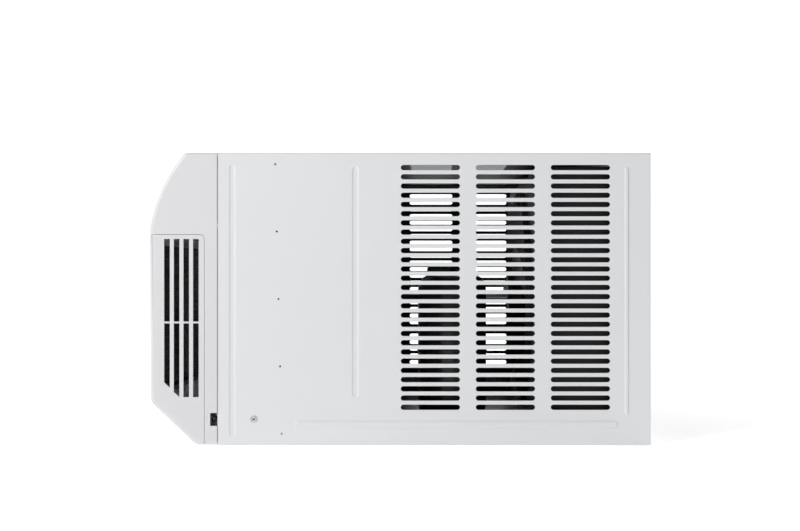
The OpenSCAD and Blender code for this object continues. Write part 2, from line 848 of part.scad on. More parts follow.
module filter_frame() {
    color("white") {
        difference() {
            box([filter_x[0], filter_y[0], filter_z[0]], [filter_x[1], filter_y[1], filter_z[1]]);
            box([filter_x[0] + 9, filter_y[0] - 1, filter_z[0] + 9],
                [filter_x[1] - 9, filter_y[1] + 1, filter_z[1] - 9]);
        }
        box([-x_side, filter_y[0], 150], [filter_x[0] + 1, filter_y[1], 236]);
        for (x = [-160, 0, 140]) box([x - 2, filter_y[0], filter_z[0] + 8],
            [x + 2, filter_y[0] + 1.6, filter_z[1] - 8]);
    }
}

module filter_mesh() {
    color("darkslategray") box([filter_x[0] + 9, filter_y[0] + 2, filter_z[0] + 9],
        [filter_x[1] - 9, filter_y[0] + 3, filter_z[1] - 9]);
}

// ---- Vanes ----

function h_pivot(i) = brow_at(180 - (17.4 + 7.5 * i), 12);
function v_vane_at(i) = v_vane_x[0] + (v_vane_x[1] - v_vane_x[0]) * i / (v_vane_count - 1);

module horizontal_vane(i) {
    at = h_pivot(i);
    x = [outlet_x[0] + frame_lip + 2, outlet_x[1] - frame_lip - 4];
    color("white") {
        x_prism(concat(arc(at + [0.8 - h_vane_chord / 2, 0], 0.8, 90, 270, 3),
            [at + [0, -1.3]], arc(at + [h_vane_chord / 2 - 0.8, 0], 0.8, -90, 90, 3),
            [at + [0, 1.3]]), x);
        x_rod(at[0], at[1], [outlet_x[0] + 2.5, x[0] + 5], pivot_r);
        x_rod(at[0], at[1], [x[1] - 5, outlet_x[1] - 2.5], pivot_r);
        x_rod(at[0] + h_link_back, at[1], [x[1] - 5, x[1] + 3.2], peg_r);
    }
}

module horizontal_vane_link() {
    x = outlet_x[1] - frame_lip - 4;
    pegs = [for (i = [0 : h_vane_count - 1]) h_pivot(i) + [h_link_back, 0]];
    last = h_vane_count - 1;
    tip = (pegs[last] - pegs[0]) / norm(pegs[last] - pegs[0]) * 4;
    half = [2.4, 0];
    left = concat([pegs[0] - tip - half], [for (p = pegs) p - half], [pegs[last] + tip - half]);
    right = concat([pegs[last] + tip + half], [for (i = [last : -1 : 0]) pegs[i] + half],
        [pegs[0] - tip + half]);
    color("lightgray") difference() {
        x_prism(concat(left, right), [x + 0.6, x + 2.6]);
        for (p = pegs) x_rod(p[0], p[1], [x, x + 4], peg_r + run_clear);
    }
}

module vertical_vane(i) {
    x = v_vane_at(i);
    color("white") {
        box([x - 0.9, v_vane_y - v_vane_chord / 2, v_vane_z[0]],
            [x + 0.9, v_vane_y + v_vane_chord / 2, v_vane_z[1]]);
        z_rod(x, v_vane_y, [duct_z[0] + 0.5, v_vane_z[0] + 4], pivot_r);
        z_rod(x, v_vane_y, [v_vane_z[1] - 4, duct_z[1] - 0.5], pivot_r);
        z_rod(x, v_vane_y + v_link_back, [v_link_z[0] - 0.6, v_vane_z[0] + 4], peg_r);
    }
}

module vertical_vane_link() {
    y = v_vane_y + v_link_back;
    color("lightgray") difference() {
        box([v_vane_x[0] - 6, y - 3, v_link_z[0]], [v_vane_x[1] + 6, y + 3, v_link_z[1]]);
        for (i = [0 : v_vane_count - 1])
            z_rod(v_vane_at(i), y, [v_link_z[0] - 1, v_link_z[1] + 1], peg_r + run_clear);
    }
}

// ---- Fresh-air vent ----

module vent_knob() {
    color("dimgray") {
        y_rod(vent_rod_x, vent_z, [y_front + 3, -60], vent_rod_r);
        y_rod(vent_rod_x, vent_z, [y_front, y_front + 3.8], 7.5);
    }
}

module vent_door() {
    z = [vent_door_z[0] + 1, vent_door_z[1] - 1];
    y = bulkhead_y + sheet_t + gap;
    ears = [vent_door_z[0] + 8, vent_door_z[1] - 12];
    color("lightgray") difference() {
        union() {
            box([vent_door_x[0] + 2, y, z[0]], [vent_door_x[1], y + 1.5, z[1]]);
            box([vent_hinge[0], y, z[0]], [vent_door_x[0] + 4, y + 1.5, z[1]]);
            z_rod(vent_hinge[0], vent_hinge[1], z, 2.6);
        }
        for (e = ears) box([vent_hinge[0] - 4, y - 1, e - 0.6], [vent_hinge[0] + 4, y + 8, e + 4.6]);
    }
    for (e = ears) color("silver") z_rod(vent_hinge[0], vent_hinge[1], [e - 2, e + 6], pivot_r);
}

side_panel_right();
side_panel_left();
top_panel();
sleeve_floor();
rear_frame();
slide_rails();
cabinet_screws();
base_pan();
bulkhead();
drain_trough();
evaporator_fins();
evaporator_plates();
evaporator_bends();
inlet_orifice();
scroll_housing();
discharge_duct();
motor_housing();
motor_stator();
motor_bearings();
motor_bracket();
condenser_fins();
condenser_plates();
condenser_bends();
condenser_shroud();
compressor_shell();
compressor_feet();
compressor_grommets();
accumulator();
refrigerant_lines();
control_box();
circuit_board();
cord_gland();
fascia_shell();
discharge_frame();
control_panel();
display_lens();
motor_shaft();
motor_rotor();
blower_wheel();
condenser_fan();
intake_grille();
grille_louvers();
filter_frame();
filter_mesh();
horizontal_vane(0);  // horizontal_vane_1
horizontal_vane(1);  // horizontal_vane_2
horizontal_vane(2);  // horizontal_vane_3
horizontal_vane_link();
vertical_vane(0);  // vertical_vane_1
vertical_vane(1);  // vertical_vane_2
vertical_vane(2);  // vertical_vane_3
vertical_vane(3);  // vertical_vane_4
vertical_vane_link();
button(0);  // button_1
button(1);  // button_2
button(2);  // button_3
button(3);  // button_4
button(4);  // button_5
vent_knob();
vent_door();
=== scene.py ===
"""Looks of a window air conditioner with a slide-out chassis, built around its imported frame.

X is to the right seen from the room, -Y is towards the room and +Z is up. Lengths are in metres.
"""

import logging
import math
from dataclasses import dataclass
from enum import Enum
from typing import Callable, Sequence

import bmesh
import bpy
from mathutils import Matrix, Vector
from mathutils.geometry import delaunay_2d_cdt


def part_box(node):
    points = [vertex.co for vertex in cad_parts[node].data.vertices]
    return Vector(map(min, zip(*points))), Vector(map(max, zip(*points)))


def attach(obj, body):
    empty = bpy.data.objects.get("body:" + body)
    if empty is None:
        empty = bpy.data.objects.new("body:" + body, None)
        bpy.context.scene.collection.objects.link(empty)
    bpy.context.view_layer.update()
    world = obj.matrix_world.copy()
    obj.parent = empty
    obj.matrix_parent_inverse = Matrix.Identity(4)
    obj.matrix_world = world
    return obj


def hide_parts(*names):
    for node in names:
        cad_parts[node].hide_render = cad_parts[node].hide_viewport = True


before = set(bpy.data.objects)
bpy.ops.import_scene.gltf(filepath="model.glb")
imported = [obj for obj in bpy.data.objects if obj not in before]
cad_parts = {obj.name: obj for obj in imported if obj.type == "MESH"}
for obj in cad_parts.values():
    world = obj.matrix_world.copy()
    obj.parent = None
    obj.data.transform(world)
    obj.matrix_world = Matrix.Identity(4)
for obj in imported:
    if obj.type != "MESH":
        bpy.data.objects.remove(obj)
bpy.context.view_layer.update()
log = logging.getLogger("air_conditioner")

MM = 0.001
WELD = 0.00001
TREE_SEED = 7
DISPLAY_TOE = 10
Colour = tuple[float, float, float]
Flat = tuple[float, float]
Place = Callable[[float, float, float], Vector]
Pressing = tuple[float, float, float, float, bool, float]  # middle, middle, length, width, upright, depth


def linear(red: int, green: int, blue: int) -> Colour:
    """Turns a display colour from 0 to 255 into a linear one.

    Args:
        red: Display red.
        green: Display green.
        blue: Display blue.

    Returns:
        The linear colour.
    """
    return tuple(
        (c / 255 / 12.92) if c < DISPLAY_TOE else ((c / 255 + 0.055) / 1.055) ** 2.4 for c in (red, green, blue))


# ---- Finishes ----


class Wire:
    """One output of a shader node, which takes part in sums."""

    def __init__(self, shader: "Shader", socket: bpy.types.NodeSocket) -> None:
        """Keeps the shader and the node's output."""
        self.shader, self.socket = shader, socket

    def _sum(self, operation: str, *terms: "Wire | float") -> "Wire":
        """One maths node over the terms."""
        return self.shader.make("ShaderNodeMath", {"operation": operation}, dict(enumerate(terms)))

    def __add__(self, other: "Wire | float") -> "Wire":
        """self + other."""
        return self._sum("ADD", self, other)

    def __radd__(self, other: float) -> "Wire":
        """other + self."""
        return self._sum("ADD", other, self)

    def __sub__(self, other: "Wire | float") -> "Wire":
        """self - other."""
        return self._sum("SUBTRACT", self, other)

    def __rsub__(self, other: float) -> "Wire":
        """other - self."""
        return self._sum("SUBTRACT", other, self)

    def __mul__(self, other: "Wire | float") -> "Wire":
        """self * other."""
        return self._sum("MULTIPLY", self, other)

    def __rmul__(self, other: float) -> "Wire":
        """other * self."""
        return self._sum("MULTIPLY", other, self)

    def __pow__(self, other: "Wire | float") -> "Wire":
        """self to the power of other."""
        return self._sum("POWER", self, other)

    def above(self, limit: float) -> "Wire":
        """1 where self is over the limit, else 0."""
        return self._sum("GREATER_THAN", self, limit)

    def held(self) -> "Wire":
        """self kept from 0 to 1."""
        return self.shader.make("ShaderNodeClamp", {}, {"Value": self, "Min": 0.0, "Max": 1.0})


class Shader:
    """One material while its nodes are laid out."""

    def __init__(self, name: str) -> None:
        """Starts a material of that name with its surface node.

        Args:
            name: Its name.
        """
        self.material = bpy.data.materials.new(name)
        self.material.use_nodes = True
        self.nodes = self.material.node_tree.nodes
        self.links = self.material.node_tree.links
        self.surface = next(n for n in self.nodes if n.type == "BSDF_PRINCIPLED")

    def make(self, kind: str, settings: dict, inputs: dict, output: int | str = 0) -> Wire:
        """Makes one node.

        Args:
            kind: The node's type.
            settings: Its properties.
            inputs: What goes into its sockets, by name or number.
            output: Which output is returned.

        Returns:
            The output, ready for sums.
        """
        node = self.nodes.new(kind)
        for key, value in settings.items():
            setattr(node, key, value)
        for key, value in inputs.items():
            self.feed(node.inputs[key], value)
        return Wire(self, node.outputs[output])

    def feed(self, socket: bpy.types.NodeSocket, value: "Wire | float | Sequence[float]") -> None:
        """Links a wire to a socket, or sets the socket's own value.

        Args:
            socket: The input.
            value: A wire, a number or a colour.
        """
        if isinstance(value, Wire):
            self.links.new(value.socket, socket)
        elif isinstance(value, (int, float)):
            socket.default_value = value
        else:
            socket.default_value = (*value, 1.0)[: len(socket.default_value)]

    def set(self, **inputs: "Wire | float | Sequence[float]") -> None:
        """Sets the surface's sockets; an underscore stands for a space."""
        for key, value in inputs.items():
            self.feed(self.surface.inputs[key.replace("_", " ")], value)

    def place(self) -> Wire:
        """Where a point is in its own object."""
        return self.make("ShaderNodeTexCoord", {}, {}, "Object")

    def stretched(self, scale: Sequence[float]) -> Wire:
        """The place, scaled by axis."""
        return self.make("ShaderNodeMapping", {}, {"Vector": self.place(), "Scale": scale})

    def noise(self, at: Wire, size: float, detail: float = 2.0, rough: float = 0.5) -> Wire:
        """Soft noise from 0 to 1."""
        return self.make("ShaderNodeTexNoise", {},
                         {"Vector": at, "Scale": size, "Detail": detail, "Roughness": rough})

    def cells(self, at: Wire, size: float, feature: str = "F1", output: str = "Distance") -> Wire:
        """Cell pattern."""
        return self.make("ShaderNodeTexVoronoi", {"feature": feature}, {"Vector": at, "Scale": size}, output)

    def blend(self, share: Wire, low: "Wire | Sequence[float]", high: "Wire | Sequence[float]") -> Wire:
        """Colour from low to high by share."""
        return self.make("ShaderNodeMix", {"data_type": "RGBA"}, {0: share, 6: low, 7: high}, 2)

    def relief(self, height: Wire, distance: float) -> None:
        """Bumps the surface by the height."""
        self.set(Normal=self.make("ShaderNodeBump", {}, {"Height": height, "Distance": distance, "Strength": 1.0}))


@dataclass(frozen=True)
class Finish:
    """A surface: its colour, gloss, grain and how far they wander."""

    slot: str
    colour: Colour
    roughness: float
    metallic: float = 0.0
    coat: float = 0.0
    wander: float = 0.06
    patch: float = 9.0
    grain: float = 0.00003
    grains: float = 700.0
    gloss_wander: float = 0.12

    def darker(self, share: float) -> Colour:
        """The colour, darker by that share."""
        return tuple(c * (1 - share) for c in self.colour)

    def tone(self, shader: Shader) -> Wire:
        """The colour as it wanders over the piece.

        Args:
            shader: The material being laid out.

        Returns:
            The colour.
        """
        drift = shader.noise(shader.place(), self.patch, 4.0, 0.6)
        speck = shader.noise(shader.place(), self.grains * 0.3, 2.0)
        return shader.blend((drift * 0.7 + speck * 0.3).held(), self.darker(self.wander), self.colour)

    def gloss(self, shader: Shader) -> Wire:
        """The roughness as it wanders over the piece."""
        drift = shader.noise(shader.place(), self.patch * 3.0, 3.0)
        return (drift - 0.5) * self.gloss_wander + self.roughness

    def height(self, shader: Shader) -> Wire:
        """The grain's height from 0 to 1."""
        return shader.noise(shader.place(), self.grains, 2.0)

    def build(self) -> bpy.types.Material:
        """Makes the material.

        Returns:
            The material.
        """
        shader = Shader(self.slot)
        shader.set(Base_Color=self.tone(shader), Roughness=self.gloss(shader), Metallic=self.metallic)
        if self.coat:
            shader.set(Coat_Weight=self.coat, Coat_Roughness=0.12)
        shader.relief(self.height(shader), self.grain)
        return shader.material


@dataclass(frozen=True)
class BakedEnamel(Finish):
    """Sheet-metal paint with orange peel."""

    def height(self, shader: Shader) -> Wire:
        """Orange peel over a slow wave of the sheet."""
        return shader.noise(shader.place(), self.grains, 2.0) * 0.8 + shader.noise(shader.place(), 60.0) * 0.2


@dataclass(frozen=True)
class SparkGrain(Finish):
    """Moulded plastic with a fine spark-eroded grain."""

    def height(self, shader: Shader) -> Wire:
        """Fine pits."""
        return shader.cells(shader.place(), self.grains) * 0.6 + shader.noise(shader.place(), self.grains * 0.5) * 0.4


@dataclass(frozen=True)
class Spangle(Finish):
    """Zinc-coated steel with its crystals."""

    def tone(self, shader: Shader) -> Wire:
        """Each crystal has its own grey.

        Args:
            shader: The material being laid out.

        Returns:
            The colour.
        """
        crystal = shader.cells(shader.place(), 120.0, output="Color")
        grey = shader.make("ShaderNodeSeparateColor", {}, {0: crystal})
        return shader.blend(grey, self.darker(0.35), self.colour)

    def gloss(self, shader: Shader) -> Wire:
        """Each crystal has its own gloss."""
        crystal = shader.cells(shader.place(), 120.0, output="Color")
        return shader.make("ShaderNodeSeparateColor", {}, {0: crystal}, 1) * 0.25 + self.roughness


@dataclass(frozen=True)
class Brushed(Finish):
    """Rolled metal with fine lines along one axis."""

    along: tuple[float, float, float] = (1.0, 40.0, 40.0)

    def lines(self, shader: Shader) -> Wire:
        """The rolling lines."""
        return shader.noise(shader.stretched(self.along), 40.0, 3.0)

    def tone(self, shader: Shader) -> Wire:
        """Lines in the tone."""
        return shader.blend(self.lines(shader), self.darker(0.22), self.colour)

    def gloss(self, shader: Shader) -> Wire:
        """Lines in the gloss."""
        return self.lines(shader) * 0.2 + (self.roughness - 0.1)

    def height(self, shader: Shader) -> Wire:
        """Lines in the relief."""
        return self.lines(shader)


@dataclass(frozen=True)
class Patina(Finish):
    """Copper with dull brown patches."""

    dull: Colour = (0.16, 0.06, 0.03)

    def tone(self, shader: Shader) -> Wire:
        """Bright metal under dull patches."""
        patch = ((shader.noise(shader.place(), 34.0, 5.0, 0.65) - 0.44) * 5.0).held()
        return shader.blend(patch, self.colour, self.dull)

    def gloss(self, shader: Shader) -> Wire:
        """The patches are rougher."""
        patch = ((shader.noise(shader.place(), 34.0, 5.0, 0.65) - 0.44) * 5.0).held()
        return patch * 0.3 + self.roughness


@dataclass(frozen=True)
class Tracks(Finish):
    """Circuit board with its copper tracks under the lacquer."""

    def tone(self, shader: Shader) -> Wire:
        """Tracks are a lighter green."""
        edge = shader.cells(shader.place(), 160.0, "DISTANCE_TO_EDGE")
        return shader.blend((1.0 - edge * 9.0).held().above(0.55), self.colour, (0.03, 0.22, 0.07))


@dataclass(frozen=True)
class Beads(Finish):
    """Moulded bead foam."""

    def tone(self, shader: Shader) -> Wire:
        """Darker between the beads."""
        edge = shader.cells(shader.place(), 260.0, "DISTANCE_TO_EDGE")
        return shader.blend((edge * 5.0).held(), self.darker(0.18), self.colour)

    def height(self, shader: Shader) -> Wire:
        """Round beads."""
        return (shader.cells(shader.place(), 260.0, "DISTANCE_TO_EDGE") * 4.0).held() ** 0.5


FINISHES: tuple[Finish, ...] = (
    BakedEnamel("cabinet_paint", linear(224, 225, 227), 0.42, coat=0.15, wander=0.03, grain=0.00002, grains=900),
    Spangle("zinc_steel", linear(176, 180, 184), 0.32, metallic=0.9, grain=0.00001, grains=500),
    SparkGrain("shell_plastic", linear(217, 217, 219), 0.45, wander=0.03, grain=0.00002, grains=1500),
    SparkGrain("grille_plastic", linear(217, 217, 219), 0.46, wander=0.03, grain=0.00002, grains=1500),
    SparkGrain("vane_plastic", linear(226, 227, 229), 0.4, wander=0.03, grain=0.00001, grains=1500),
    SparkGrain("panel_plastic", linear(206, 208, 212), 0.38, wander=0.04, grain=0.00001, grains=1600),
    Finish("lens_plastic", linear(22, 24, 28), 0.08, coat=1.0, wander=0.3, grain=0.000002, grains=90,
           gloss_wander=0.04),
    SparkGrain("button_plastic", linear(240, 240, 241), 0.35, wander=0.03, grain=0.00001, grains=1600),
    Beads("foam", linear(226, 228, 228), 0.85, wander=0.1, grain=0.0003),
    SparkGrain("black_plastic", linear(20, 20, 22), 0.55, wander=0.35, grain=0.00003, grains=900),
    BakedEnamel("black_enamel", linear(26, 26, 28), 0.34, coat=0.3, wander=0.4, grain=0.00004, grains=500),
    Brushed("fin_aluminium", linear(205, 208, 211), 0.36, metallic=1.0, grain=0.00001, along=(40.0, 40.0, 1.0)),
    Patina("copper", linear(214, 138, 98), 0.26, metallic=1.0, grain=0.00002, grains=200),
    Brushed("shaft_steel", linear(190, 192, 195), 0.3, metallic=1.0, grain=0.00001),
    Spangle("screw_steel", linear(226, 227, 228), 0.4, metallic=0.75, grain=0.00001),
    SparkGrain("runner_nylon", linear(232, 230, 220), 0.5, grain=0.00002, grains=900),
    Finish("rubber", linear(30, 30, 31), 0.75, wander=0.3, grain=0.00008, grains=600),
    Tracks("board", linear(20, 92, 44), 0.35, coat=0.4, grain=0.00004, grains=400),
    Brushed("filter_plastic", linear(70, 78, 84), 0.6, grain=0.00003, along=(40.0, 8.0, 1.0)),
    SparkGrain("filter_frame_plastic", linear(226, 228, 230), 0.5, grain=0.00002, grains=1200),
)
MATERIALS: dict[str, bpy.types.Material] = {}


# ---- Shapes ----


class Form:
    """Corners and faces of one piece while it is put together."""

    def __init__(self) -> None:
        """Starts empty."""
        self.points: list[Vector] = []
        self.faces: list[tuple[int, ...]] = []

    def ring(self, points: Sequence[Sequence[float]]) -> list[int]:
        """Adds corners and returns their numbers.

        Args:
            points: The corners.

        Returns:
            Their numbers.
        """
        start = len(self.points)
        self.points += [Vector(p) for p in points]
        return list(range(start, len(self.points)))

    def bridge(self, a: Sequence[int], b: Sequence[int], closed: bool = True) -> None:
        """Joins two equally long rings with four-sided faces.

        Args:
            a: The corners of one ring.
            b: The corners of the other.
            closed: Whether the last corner joins the first.
        """
        last = len(a) if closed else len(a) - 1
        for i in range(last):
            j = (i + 1) % len(a)
            self.faces.append((a[i], a[j], b[j], b[i]))

    def tube(self, rings: Sequence[Sequence[Sequence[float]]]) -> list[list[int]]:
        """Skins a row of closed rings and leaves both ends open.

        Args:
            rings: The rings, all with as many points.

        Returns:
            The numbers of each ring's corners.
        """
        made = [self.ring(r) for r in rings]
        for a, b in zip(made, made[1:]):
            self.bridge(a, b)
        return made

    def loft(self, rings: Sequence[Sequence[Sequence[float]]]) -> None:
        """Skins a row of closed rings and closes both ends."""
        made = self.tube(rings)
        self.faces += [tuple(reversed(made[0])), tuple(made[-1])]

    def slab(self, low: Sequence[float], high: Sequence[float]) -> None:
        """Adds a block between two corners."""
        (x0, y0, z0), (x1, y1, z1) = low, high
        self.loft([[(x0, y0, z), (x1, y0, z), (x1, y1, z), (x0, y1, z)] for z in (z0, z1)])

    def turn(self, profile: Sequence[Flat], steps: int, place: Matrix) -> None:
        """Turns a profile round Z, then places it; an open profile gets a cap at each end.

        Args:
            profile: Radius and height of each corner.
            steps: Steps round the axis.
            place: Where it goes.
        """
        made = self.tube([[place @ Vector((*point, height)) for point in disc(0.0, 0.0, radius, steps)]
                          for radius, height in profile])
        if profile[0] != profile[-1]:
            self.faces += [tuple(reversed(made[0])), tuple(made[-1])]

    def skin(self, outline: Sequence[Flat], holes: Sequence[Sequence[Flat]], place: Place, depth: float) -> None:
        """Fills an outline, leaving its holes open.

        Args:
            outline: The outer edge.
            holes: The edges of the holes.
            place: Puts a flat point at a depth into space.
            depth: How deep the skin lies.
        """
        points: list[Vector] = []
        edges: list[tuple[int, int]] = []
        for loop in (outline, *holes):
            start, count = len(points), len(loop)
            points += [Vector(p) for p in loop]
            edges += [(start + i, start + (i + 1) % count) for i in range(count)]
        corners, _, faces, *_ = delaunay_2d_cdt(points, edges, [tuple(range(len(outline)))], 2, 1e-7)
        made = self.ring([place(c[0], c[1], depth) for c in corners])
        self.faces += [tuple(made[i] for i in f) for f in faces]

    def mesh(self, mesh: bpy.types.Mesh) -> None:
        """Adds the faces of a finished mesh."""
        made = self.ring([v.co for v in mesh.vertices])
        self.faces += [tuple(made[i] for i in p.vertices) for p in mesh.polygons]

    def piece(self, name: str) -> bpy.types.Object:
        """Makes the piece, welded and with its faces outward.

        Args:
            name: The piece's name.

        Returns:
            The new object.
        """
        mesh = bpy.data.meshes.new(name)
        mesh.from_pydata([tuple(p) for p in self.points], [], self.faces)
        body = bmesh.new()
        body.from_mesh(mesh)
        bmesh.ops.remove_doubles(body, verts=body.verts, dist=WELD)
        bmesh.ops.recalc_face_normals(body, faces=body.faces)
        body.to_mesh(mesh)
        body.free()
        return placed(name, mesh)


def placed(name: str, data: bpy.types.ID) -> bpy.types.Object:
    """Puts a mesh, light or camera into the scene as an object.

    Args:
        name: Its name.
        data: What it holds.

    Returns:
        The new object.
    """
    thing = bpy.data.objects.new(name, data)
    bpy.context.scene.collection.objects.link(thing)
    return thing


def capsule(a: float, b: float, length: float, width: float, upright: bool = False, steps: int = 8) -> list[Flat]:
    """Outline of a long hole with round ends.

    Args:
        a: Middle along the first axis.
        b: Middle along the second axis.
        length: Over the round ends.
        width: Across.
        upright: Whether it is long along the second axis.
        steps: Steps round each end.

    Returns:
        The outline, anticlockwise.
    """
    r, reach = width / 2, (length - width) / 2
    loop = []
    for side, start in ((1, -90), (-1, 90)):
        for k in range(steps + 1):
            angle = math.radians(start + 180 * k / steps)
            loop.append((side * reach + r * math.cos(angle), r * math.sin(angle)))
    if upright:
        loop = [(-v, u) for u, v in loop]
    return [(a + u, b + v) for u, v in loop]


def disc(a: float, b: float, radius: float, steps: int = 24) -> list[Flat]:
    """Outline of a round hole."""
    angles = [math.tau * k / steps for k in range(steps)]
    return [(a + radius * math.cos(angle), b + radius * math.sin(angle)) for angle in angles]


def evaluated(piece: bpy.types.Object) -> bpy.types.Object:
    """Turns a piece's modifiers into its plain mesh.

    Args:
        piece: The piece.

    Returns:
        The same piece.
    """
    bpy.context.view_layer.update()
    mesh = bpy.data.meshes.new_from_object(piece.evaluated_get(bpy.context.evaluated_depsgraph_get()))
    piece.modifiers.clear()
    piece.data = mesh
    return piece


def dress(
    piece: bpy.types.Object, body: str, slot: str, nodes: Sequence[str] = (), smooth: float = 32.0,
    shade_painted: Callable[[Vector], bool] | None = None,
) -> bpy.types.Object:
    """Gives a finished piece its material, its body and the nodes it stands for.

    Args:
        piece: The piece, in place.
        body: The body that it rides on.
        slot: Its material slot.
        nodes: The nodes that it replaces.
        smooth: Edges sharper than this many degrees stay crisp.
        shade_painted: Tells by its middle whether a face gets the black plastic as painted shade.

    Returns:
        The piece.
    """
    mesh = piece.data
    mesh.materials.clear()
    mesh.materials.append(MATERIALS[slot])
    mesh.polygons.foreach_set("use_smooth", [True] * len(mesh.polygons))
    mesh.polygons.foreach_set("material_index", [0] * len(mesh.polygons))
    # Painted shade: the faces picked out here get the black plastic, standing in for the shade inside the unit.
    if shade_painted:
        mesh.materials.append(MATERIALS["black_plastic"])
        mesh.polygons.foreach_set("material_index", [int(shade_painted(face.center)) for face in mesh.polygons])
    mesh.set_sharp_from_angle(angle=math.radians(smooth))
    flat = piece.modifiers.new("flat", "WEIGHTED_NORMAL")
    flat.mode, flat.keep_sharp, flat.weight = "FACE_AREA", True, 100
    mesh = evaluated(piece).data
    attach(piece, body)
    if nodes:
        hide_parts(*nodes)
    log.info("%s: %d faces on %s", piece.name, len(mesh.polygons), body)
    return piece


# ---- Repeats ----


class Tree:
    """A Geometry Nodes tree while it is laid out."""

    def __init__(self, name: str, **sizes: str) -> None:
        """Starts a tree that takes and gives geometry.

        Args:
            name: The tree's name.
            sizes: Its other inputs and the kind of each; an underscore stands for a space.
        """
        self.group = bpy.data.node_groups.new(name, "GeometryNodeTree")
        self.group.interface.new_socket("Geometry", in_out="INPUT", socket_type="NodeSocketGeometry")
        self.group.interface.new_socket("Geometry", in_out="OUTPUT", socket_type="NodeSocketGeometry")
        self.entry = self.group.nodes.new("NodeGroupInput")
        self.exit = self.group.nodes.new("NodeGroupOutput")
        for key, kind in (*sizes.items(), ("Material", "Material")):
            self.group.interface.new_socket(key.replace("_", " "), in_out="INPUT", socket_type="NodeSocket" + kind)

    def make(self, kind: str, settings: dict, inputs: dict, output: int | str = 0) -> bpy.types.NodeSocket:
        """Makes one node.

        Args:
            kind: The node's type.
            settings: Its properties.
            inputs: What goes into its sockets: an output, the name of a tree input, or a value.
            output: Which output is returned.

        Returns:
            The output.
        """
        node = self.group.nodes.new(kind)
        for key, value in settings.items():
            setattr(node, key, value)
        for key, value in inputs.items():
            if isinstance(value, bpy.types.NodeSocket):
                self.group.links.new(value, node.inputs[key])
            elif isinstance(value, str):
                self.group.links.new(self.entry.outputs[value], node.inputs[key])
            else:
                node.inputs[key].default_value = value
        return node.outputs[output]

    def close(self, shape: bpy.types.NodeSocket) -> bpy.types.NodeTree:
        """Ends the tree in plain geometry with its material.

        Args:
            shape: What the tree made.

        Returns:
            The finished tree.
        """
        plain = self.make("GeometryNodeRealizeInstances", {}, {"Geometry": shape})
        painted = self.make("GeometryNodeSetMaterial", {}, {"Geometry": plain, "Material": "Material"})
        self.group.links.new(painted, self.exit.inputs[0])
        return self.group


